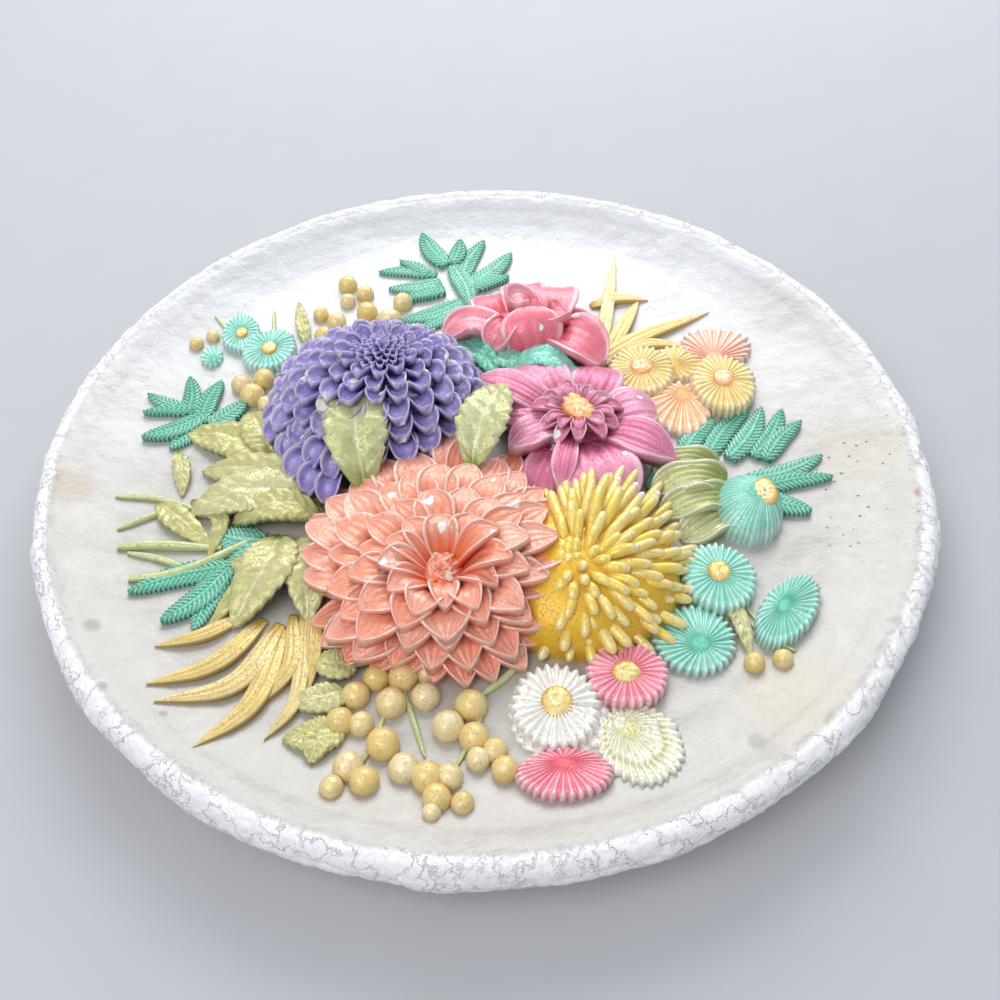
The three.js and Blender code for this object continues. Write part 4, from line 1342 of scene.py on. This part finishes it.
def chain(paths):
    """Joins many paths into one list of points and edges."""
    edges = []
    at = 0
    for path in paths:
        edges += [(at + i, at + i + 1) for i in range(len(path) - 1)]
        at += len(path)
    return np.vstack(paths), edges


def quills():
    """The chrysanthemum's quilled petals: paths, thickness and paint fields."""
    paths, sizes, fields = [], [], {"along": [], "crest": [], "deep": [], "tone": [], "chip": []}
    s = np.array([0, 0.15, 0.3, 0.45, 0.58, 0.7, 0.8, 0.88, 0.94, 0.975, 0.993, 1.0])
    random = MUM.random
    degrees, reach = zip(*MUM_REACH)
    for k, (count, share, height, start, start_height) in enumerate(MUM_ROWS):
        for i in range(count):
            a = 2 * math.pi * (i + 0.5 * (k % 2) + random.uniform(-0.3, 0.3)) / count
            turned = (math.degrees(a) + 180) % 360 - 180
            far = np.interp(turned, degrees, reach) * share * random.uniform(0.93, 1.05)
            lift = 4 * bell(turned - 75, 35) - 9 * smooth(abs(turned), 105, 140) * share
            rise = height + lift + random.uniform(-1, 1)
            tip = MUM_MIDDLE + vec(far * math.cos(a), far * math.sin(a), rise)
            root = MUM_ROOT + vec(start * math.cos(a), start * math.sin(a), start_height)
            over = vec(0, 0, random.uniform(2.5, 4.5)) + (tip + root * 1.2) / 2.2
            bow = random.uniform(-2.5, 2.5)
            over = over + bow * vec(-math.sin(a), math.cos(a), 0)
            path = bend(root, over, tip, s)
            swell = 0.5 + 0.5 * smooth(s, 0.05, 0.6) - 0.22 * smooth(s, 0.6, 1.0)
            thick = random.uniform(1.9, 2.5) * swell
            thick = thick * np.sqrt(np.clip(1 - np.clip((s - 0.88) / 0.125, 0, 1) ** 2, 0.004, 1))
            paths.append(path)
            sizes.append(thick)
            bare = 1.0 if random.uniform() < 0.07 else 0.0
            fields["along"].append(s)
            # Painted highlight towards the tips and painted shade towards the roots.
            fields["crest"].append(0.75 * smooth(s, 0.55, 0.98))
            fields["deep"].append(1 - smooth(s, 0.15, 0.7))
            fields["tone"].append(np.full(len(s), random.uniform()))
            fields["chip"].append(bare * smooth(s, 0.93, 0.99))
    points, edges = chain(paths)
    fields = {name: np.concatenate(parts) for name, parts in fields.items()}
    return points, edges, {"size": np.concatenate(sizes) * UNIT, **fields}


def stem_chains():
    """The stems' paths, thickness and paint fields."""
    paths, sizes = [], []
    s = np.linspace(0, 1, 26)
    for places, half in STEMS:
        path = through([(u, v, 0) for u, v in places], len(s))
        path[:, 2] = ground(path[:, 0], path[:, 1]) + 0.5 * half
        paths.append(path)
        sizes.append(half * np.sqrt(np.clip(np.sin(math.pi * (0.06 + 0.9 * s)), 0.02, 1)))
    points, edges = chain(paths)
    flat = np.zeros(len(points))
    fields = {"crest": flat + 0.4, "deep": flat, "tone": flat + 0.5}
    return points, edges, {"size": np.concatenate(sizes) * UNIT, **fields}


# ------------------------------------------------------------------ pieces in the scene


def keep(piece, material, slot):
    """Gives a finished piece its material, body and place in the plaque."""
    if not piece.data.materials or piece.data.materials[0] != material:
        piece.data.materials.clear()
        piece.data.materials.append(material)
    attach(piece, BODY)
    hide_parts(NODE)
    return piece


def keep_bag(bag, name, material, slot):
    piece = bpy.data.objects.new(name, bag.mesh(name))
    bpy.context.scene.collection.objects.link(piece)
    return keep(piece, material, slot)


def colour_of(context, name):
    return tuple(getattr(context.scene.plaque_colours, name))


def paint(context, name, colour, deep=(0.8, 0.8, 0.8), light=0.45, hue=(1, 1, 1), **style):
    """A pearly paint in one of the plaque's colours; hue shifts it, the crease factors give the darker colour painted
    as shade in its creases, and its pale colour also serves for the painted highlight on the ridges.
    """
    mid = [min(1, c * h) for c, h in zip(colour_of(context, colour), hue)]
    # The darker colour painted as shade in the creases.
    low = [c * d for c, d in zip(mid, deep)]
    wear = context.scene.plaque_finish.wear
    return pearl_paint(name, mid, low, whiter(mid, light), wear=wear, **style)


def swatch(name, description, colour):
    """A colour setting, as seen on screen."""
    return FloatVectorProperty(name=name, description=description, default=colour,
                               subtype="COLOR_GAMMA", size=3, min=0, max=1)


class PlaqueColours(bpy.types.PropertyGroup):
    """The paints."""

    coral: swatch("Coral", "Large dahlia", (0.94, 0.59, 0.46))
    violet: swatch("Violet", "Ball dahlia", (0.55, 0.48, 0.75))
    yellow: swatch("Yellow", "Chrysanthemum and yellow daisies", (0.94, 0.82, 0.34))
    magenta: swatch("Magenta", "Broad-petalled flower", (0.84, 0.44, 0.58))
    rose: swatch("Rose red", "Rose and red daisies", (0.93, 0.45, 0.52))
    fern: swatch("Fern green", "Ferns and green leaves", (0.34, 0.70, 0.58))
    aqua: swatch("Aqua", "Aqua daisies and seed head", (0.49, 0.82, 0.73))
    gold: swatch("Gold", "Berries and gold grass", (0.91, 0.80, 0.50))
    olive: swatch("Pale olive", "Broad leaves, grass and stems", (0.80, 0.79, 0.56))
    orange: swatch("Orange", "Orange and peach flowers and buttons", (0.97, 0.73, 0.50))
    white: swatch("White", "White and cream flowers", (0.94, 0.93, 0.90))


class PlaqueFinish(bpy.types.PropertyGroup):
    """How worn and how finely made the plaque is."""

    wear: FloatProperty(name="Wear", description="How far the paint is rubbed off the ridges",
                        default=0.4, min=0, max=1, subtype="FACTOR")
    rim_wear: FloatProperty(name="Rim wear", description="How chalky the rim is",
                            default=0.9, min=0, max=1, subtype="FACTOR")
    segments: IntProperty(name="Dish segments", description="Steps round the dish",
                          default=1000, min=64, max=1100)
    quill_sides: IntProperty(name="Quill sides", description="Sides of each quilled petal",
                             default=10, min=5, max=16)
    berry_lumps: FloatProperty(name="Berry lumps", description="Unevenness of the berries",
                               default=0.3, min=0)
    lens: FloatProperty(name="Lens", description="Focal length of the camera", default=0.036, unit="CAMERA")


class MakeDish(bpy.types.Operator):
    """Make the pearly dish that carries the bouquet"""

    bl_idname = "plaque.dish"
    bl_label = "Dish"

    def execute(self, context):
        finish = context.scene.plaque_finish
        keep_bag(dish(finish.segments), "pearl_dish", pearl_ground(finish.rim_wear), "pearl_ground")
        return {"FINISHED"}


class MakeFerns(bpy.types.Operator):
    """Make the fern leaflets and the green leaves under the rose"""

    bl_idname = "plaque.ferns"
    bl_label = "Ferns"

    def execute(self, context):
        green = paint(context, "fern_paint", "fern", deep=(0.45, 0.76, 0.72), light=0.4)
        keep_bag(ferns(), "fern_leaflets", green, "fern_paint")
        keep_bag(climbing(GREEN_LEAVES, teeth=9), "green_leaves", green, "fern_paint")
        mint = paint(context, "mint_paint", "aqua", deep=(0.6, 0.8, 0.7), light=0.4)
        keep_bag(climbing([(MINT_LEAF, 6.5)]), "mint_leaf", mint, "aqua_paint")
        return {"FINISHED"}


class MakeLeaves(bpy.types.Operator):
    """Make the pale leaves, the leaves that climb the flowers, and the calyx"""

    bl_idname = "plaque.leaves"
    bl_label = "Leaves"

    def execute(self, context):
        olive = paint(context, "olive_paint", "olive", deep=(0.8, 0.8, 0.5), light=0.35,
                      hue=(0.93, 0.92, 0.8))
        keep_bag(leaves(PALE_LEAVES), "pale_leaves", olive, "olive_paint")
        sage = paint(context, "sage_paint", "olive", deep=(0.75, 0.8, 0.5), light=0.35,
                     hue=(0.93, 0.95, 0.9))
        keep_bag(climbing(CLIMBING_LEAVES), "climbing_leaves", sage, "olive_paint")
        keep_bag(calyx(), "folded_calyx", sage, "olive_paint")
        return {"FINISHED"}


class MakeGrass(bpy.types.Operator):
    """Make the blades of grass"""

    bl_idname = "plaque.grass"
    bl_label = "Grass"

    def execute(self, context):
        gold = paint(context, "gold_grass_paint", "gold", deep=(0.86, 0.8, 0.5), light=0.5)
        keep_bag(grass(GOLD_GRASS), "gold_grass", gold, "gold_paint")
        pale = paint(context, "pale_grass_paint", "gold", deep=(0.84, 0.8, 0.5), light=0.35,
                     hue=(0.93, 0.92, 0.85))
        keep_bag(grass(PALE_GRASS), "pale_grass", pale, "olive_paint")
        return {"FINISHED"}


class MakeStems(bpy.types.Operator):
    """Make the thin stems"""

    bl_idname = "plaque.stems"
    bl_label = "Stems"

    def execute(self, context):
        material = paint(context, "stem_paint", "olive", deep=(0.8, 0.86, 0.55), light=0.5,
                         hue=(0.93, 1, 0.95))
        points, edges, fields = stem_chains()
        settings = {"Sides": 10, "Thickness": 1.0, "Material": material}
        piece = through_nodes("stems", points, edges, fields, tube_tree(), settings)
        keep(piece, material, "olive_paint")
        return {"FINISHED"}


class MakeBerries(bpy.types.Operator):
    """Make the berries"""

    bl_idname = "plaque.berries"
    bl_label = "Berries"

    def execute(self, context):
        material = paint(context, "berry_paint", "gold", deep=(0.9, 0.82, 0.45), light=0.6, metallic=0.2)
        points = np.array([on(u, v, 0.32 * r) for u, v, r in BERRIES])
        sizes = np.array([r for _, _, r in BERRIES]) * UNIT
        tones = (np.arange(len(BERRIES)) * 0.381) % 1
        lumps = context.scene.plaque_finish.berry_lumps
        settings = {"Rings": 14, "Lumps": lumps, "Seed": 5, "Material": material}
        fields = {"size": sizes, "tone": tones}
        piece = through_nodes("gold_berries", points, [], fields, bead_tree(), settings)
        keep(piece, material, "gold_paint")
        return {"FINISHED"}


class MakeCoralDahlia(bpy.types.Operator):
    """Make the large coral dahlia"""

    bl_idname = "plaque.coral_dahlia"
    bl_label = "Coral dahlia"

    def execute(self, context):
        material = paint(context, "coral_paint", "coral", deep=(1.0, 0.8, 0.55))
        keep_bag(coral_dahlia(), "coral_dahlia", material, "coral_paint")
        return {"FINISHED"}


class MakeVioletDahlia(bpy.types.Operator):
    """Make the violet ball dahlia"""

    bl_idname = "plaque.violet_dahlia"
    bl_label = "Violet dahlia"

    def execute(self, context):
        material = paint(context, "violet_paint", "violet", deep=(0.72, 0.68, 0.88))
        keep_bag(violet_dahlia(), "violet_dahlia", material, "violet_paint")
        return {"FINISHED"}


class MakeChrysanthemum(bpy.types.Operator):
    """Make the quilled yellow chrysanthemum"""

    bl_idname = "plaque.chrysanthemum"
    bl_label = "Chrysanthemum"

    def execute(self, context):
        material = paint(context, "yellow_paint", "yellow", deep=(0.95, 0.86, 0.25), light=0.5)
        points, edges, fields = quills()
        sides = context.scene.plaque_finish.quill_sides
        settings = {"Sides": sides, "Thickness": 1.0, "Material": material}
        keep(through_nodes("chrysanthemum_quills", points, edges, fields, tube_tree(), settings), material,
             "yellow_paint")
        core = Bag()
        # A hidden body under the quills, painted all in shade.
        cushion(core, 34, -63, 15, 37, 35, 20, crest=0.0, deep=1.0, skirt=6)
        keep_bag(core, "chrysanthemum_core", material, "yellow_paint")
        return {"FINISHED"}


class MakeMagentaFlower(bpy.types.Operator):
    """Make the magenta flower and its orange button"""

    bl_idname = "plaque.magenta_flower"
    bl_label = "Magenta flower"

    def execute(self, context):
        material = paint(context, "magenta_paint", "magenta", deep=(0.85, 0.6, 0.72))
        keep_bag(magenta_flower(), "magenta_flower", material, "magenta_paint")
        orange = paint(context, "button_paint", "orange", deep=(0.9, 0.75, 0.5), light=0.4,
                       hue=(1, 0.98, 0.85))
        keep_bag(magenta_button(), "magenta_flower_button", orange, "gold_paint")
        return {"FINISHED"}


class MakeRose(bpy.types.Operator):
    """Make the open rose"""

    bl_idname = "plaque.rose"
    bl_label = "Rose"

    def execute(self, context):
        material = paint(context, "rose_paint", "rose", deep=(0.93, 0.6, 0.68), light=0.5)
        keep_bag(rose(), "open_rose", material, "rose_paint")
        return {"FINISHED"}


class MakeDaisies(bpy.types.Operator):
    """Make the daisies, their buttons and the aqua seed head"""

    bl_idname = "plaque.daisies"
    bl_label = "Daisies"

    def execute(self, context):
        # Each kind's fourth entry darkens its paint into the colour painted as shade in its creases.
        kinds = [
            (YELLOW, "yellow", "yellow_paint", (0.92, 0.82, 0.5), (0.98, 0.98, 1.3)),
            (ORANGE, "orange", "coral_paint", (1, 0.85, 0.7), (1, 1, 1)),
            (PEACH, "orange", "coral_paint", (1, 0.88, 0.8), (1, 1, 1.25)),
            (AQUA, "aqua", "aqua_paint", (0.62, 0.84, 0.8), (1, 1, 1)),
            (WHITE, "white", "white_paint", (0.85, 0.85, 0.66), (1, 1, 1)),
            (RED, "rose", "rose_paint", (0.95, 0.68, 0.72), (1, 1.05, 1.08)),
            (PINK, "rose", "rose_paint", (0.95, 0.68, 0.72), (1, 1.05, 1.05)),
            (CREAM, "white", "white_paint", (0.9, 0.9, 0.72), (0.95, 0.95, 0.85)),
        ]
        for name, colour, slot, deep, hue in kinds:
            material = paint(context, f"{name}_daisy_paint", colour, deep=deep, light=0.5, hue=hue)
            keep_bag(daisies(name), f"{name}_daisies", material, slot)
            if name == AQUA:
                keep_bag(globe(), "aqua_seed_head", material, slot)
            if any(tint == name for tint, *_ in BUTTONS):
                keep_bag(buttons(name), f"{name}_buttons", material, slot)
        return {"FINISHED"}


class MakeStage(bpy.types.Operator):
    """Make the wall, the lights and the camera"""

    bl_idname = "plaque.stage"
    bl_label = "Stage"

    def execute(self, context):
        stage(context)
        return {"FINISHED"}


MAKERS = [MakeDish, MakeFerns, MakeLeaves, MakeGrass, MakeStems, MakeBerries, MakeCoralDahlia,
          MakeVioletDahlia, MakeChrysanthemum, MakeMagentaFlower, MakeRose, MakeDaisies, MakeStage]


class PlaquePanel(bpy.types.Panel):
    """Lists the plaque's settings and pieces"""

    bl_idname = "VIEW3D_PT_plaque"
    bl_label = "Flower Relief Plaque"
    bl_space_type = "VIEW_3D"
    bl_region_type = "UI"
    bl_category = "Plaque"

    def draw(self, context):
        for settings in (context.scene.plaque_colours, context.scene.plaque_finish):
            column = self.layout.column()
            for name in settings.bl_rna.properties.keys():
                if name not in ("rna_type", "name"):
                    column.prop(settings, name)
        for maker in MAKERS:
            self.layout.operator(maker.bl_idname)


# ------------------------------------------------------------------ the stage

WALL_HOLE = 150.0
WALL_SIZE = 4.0
WALL_GAP = 0.0006
EYE = (0.0, -0.3181, -0.2748)
ELEVATION = 49.17
ROLL = -2.35
SHIFT = (0.0178, -0.0202)
SENSOR = 36.0
SKY_COLOUR = (0.93, 0.95, 1.0)
SKY_STRENGTH = 0.62
# Each light: name, place, the point it faces, width and height, watts, colour.
LIGHTS = [
    ("window", (0.1, -0.8, 0.95), (0, 0, 0.05), (1.2, 0.7), 12, (0.97, 0.985, 1.0)),
    ("room", (-0.5, -1.1, -0.5), (0, 0, 0), (0.8, 0.8), 7, (1.0, 0.98, 0.95)),
    ("behind", (0.3, 1.0, 0.4), (0, 0, 0), (0.8, 0.8), 6, (1, 1, 1)),
]


def wall_mesh():
    """A wide wall with a round hole behind the plaque."""
    sides = 96
    a = np.linspace(0, 2 * math.pi, sides, endpoint=False)
    circle = np.stack([np.cos(a), np.sin(a)], -1)
    hole = circle * WALL_HOLE * UNIT
    square = circle / np.abs(circle).max(-1, keepdims=True) * WALL_SIZE
    flat = np.vstack([hole, square])
    points = np.stack([flat[:, 0], np.full(len(flat), WALL_GAP), flat[:, 1]], -1)
    i = np.arange(sides)
    k = (i + 1) % sides
    faces = np.stack([i, sides + i, sides + k, k], -1)
    mesh = bpy.data.meshes.new("wall")
    mesh.from_pydata(points.tolist(), [], faces.tolist())
    return mesh


def wall_paint():
    """Plain pale wall, clear from behind."""
    m = Finish("wall_paint")
    grain = m.noise(30.0, 4.0)
    colour = m.mix(grain, linear((0.72, 0.725, 0.735)), linear((0.74, 0.745, 0.755)))
    material = m.finish(colour, 0.9)
    tree = material.node_tree
    output = next(n for n in tree.nodes if n.type == "OUTPUT_MATERIAL")
    shader = next(n for n in tree.nodes if n.type == "BSDF_PRINCIPLED")
    clear = tree.nodes.new("ShaderNodeBsdfTransparent")
    both = tree.nodes.new("ShaderNodeMixShader")
    facing = tree.nodes.new("ShaderNodeNewGeometry")
    tree.links.new(facing.outputs["Backfacing"], both.inputs[0])
    tree.links.new(shader.outputs[0], both.inputs[1])
    tree.links.new(clear.outputs[0], both.inputs[2])
    tree.links.new(both.outputs[0], output.inputs["Surface"])
    return material


def add_light(name, place_at, target, size, power, colour):
    light = bpy.data.lights.new(name, "AREA")
    light.shape = "RECTANGLE"
    light.size, light.size_y = size
    light.energy = power
    light.color = colour
    lamp = bpy.data.objects.new(name, light)
    lamp.location = place_at
    aim = Vector(target) - Vector(place_at)
    lamp.rotation_euler = aim.to_track_quat("-Z", "Y").to_euler()
    bpy.context.scene.collection.objects.link(lamp)


def add_camera(lens):
    camera = bpy.data.cameras.new("camera")
    camera.lens = lens * 1000
    camera.sensor_width = SENSOR
    camera.shift_x, camera.shift_y = SHIFT
    camera.clip_start = 0.01
    eye = bpy.data.objects.new("camera", camera)
    forward = Vector((0, math.sin(math.radians(ELEVATION)), math.cos(math.radians(ELEVATION))))
    turn = forward.to_track_quat("-Z", "Y").to_matrix().to_4x4()
    eye.matrix_world = Matrix.Translation(EYE) @ turn @ Matrix.Rotation(math.radians(ROLL), 4, "Z")
    bpy.context.scene.collection.objects.link(eye)
    bpy.context.scene.camera = eye


def stage(context):
    wall = bpy.data.objects.new("wall", wall_mesh())
    wall.data.materials.append(wall_paint())
    bpy.context.scene.collection.objects.link(wall)
    context.scene.view_settings.view_transform = "Standard"
    world = bpy.data.worlds.new("studio")
    context.scene.world = world
    world.use_nodes = True
    sky = world.node_tree.nodes["Background"].inputs
    sky["Color"].default_value = (*linear(SKY_COLOUR), 1)
    sky["Strength"].default_value = SKY_STRENGTH
    for light in LIGHTS:
        add_light(*light)
    add_camera(context.scene.plaque_finish.lens)


# ------------------------------------------------------------------ the add-on

CLASSES = [PlaqueColours, PlaqueFinish, *MAKERS, PlaquePanel]


def register():
    for cls in CLASSES:
        bpy.utils.register_class(cls)
    bpy.types.Scene.plaque_colours = PointerProperty(type=PlaqueColours)
    bpy.types.Scene.plaque_finish = PointerProperty(type=PlaqueFinish)


def unregister():
    del bpy.types.Scene.plaque_finish
    del bpy.types.Scene.plaque_colours
    for cls in reversed(CLASSES):
        bpy.utils.unregister_class(cls)


def main():
    register()
    for maker in MAKERS:
        group, name = maker.bl_idname.split(".")
        getattr(getattr(bpy.ops, group), name)()


if __name__ == "__main__":
    main()
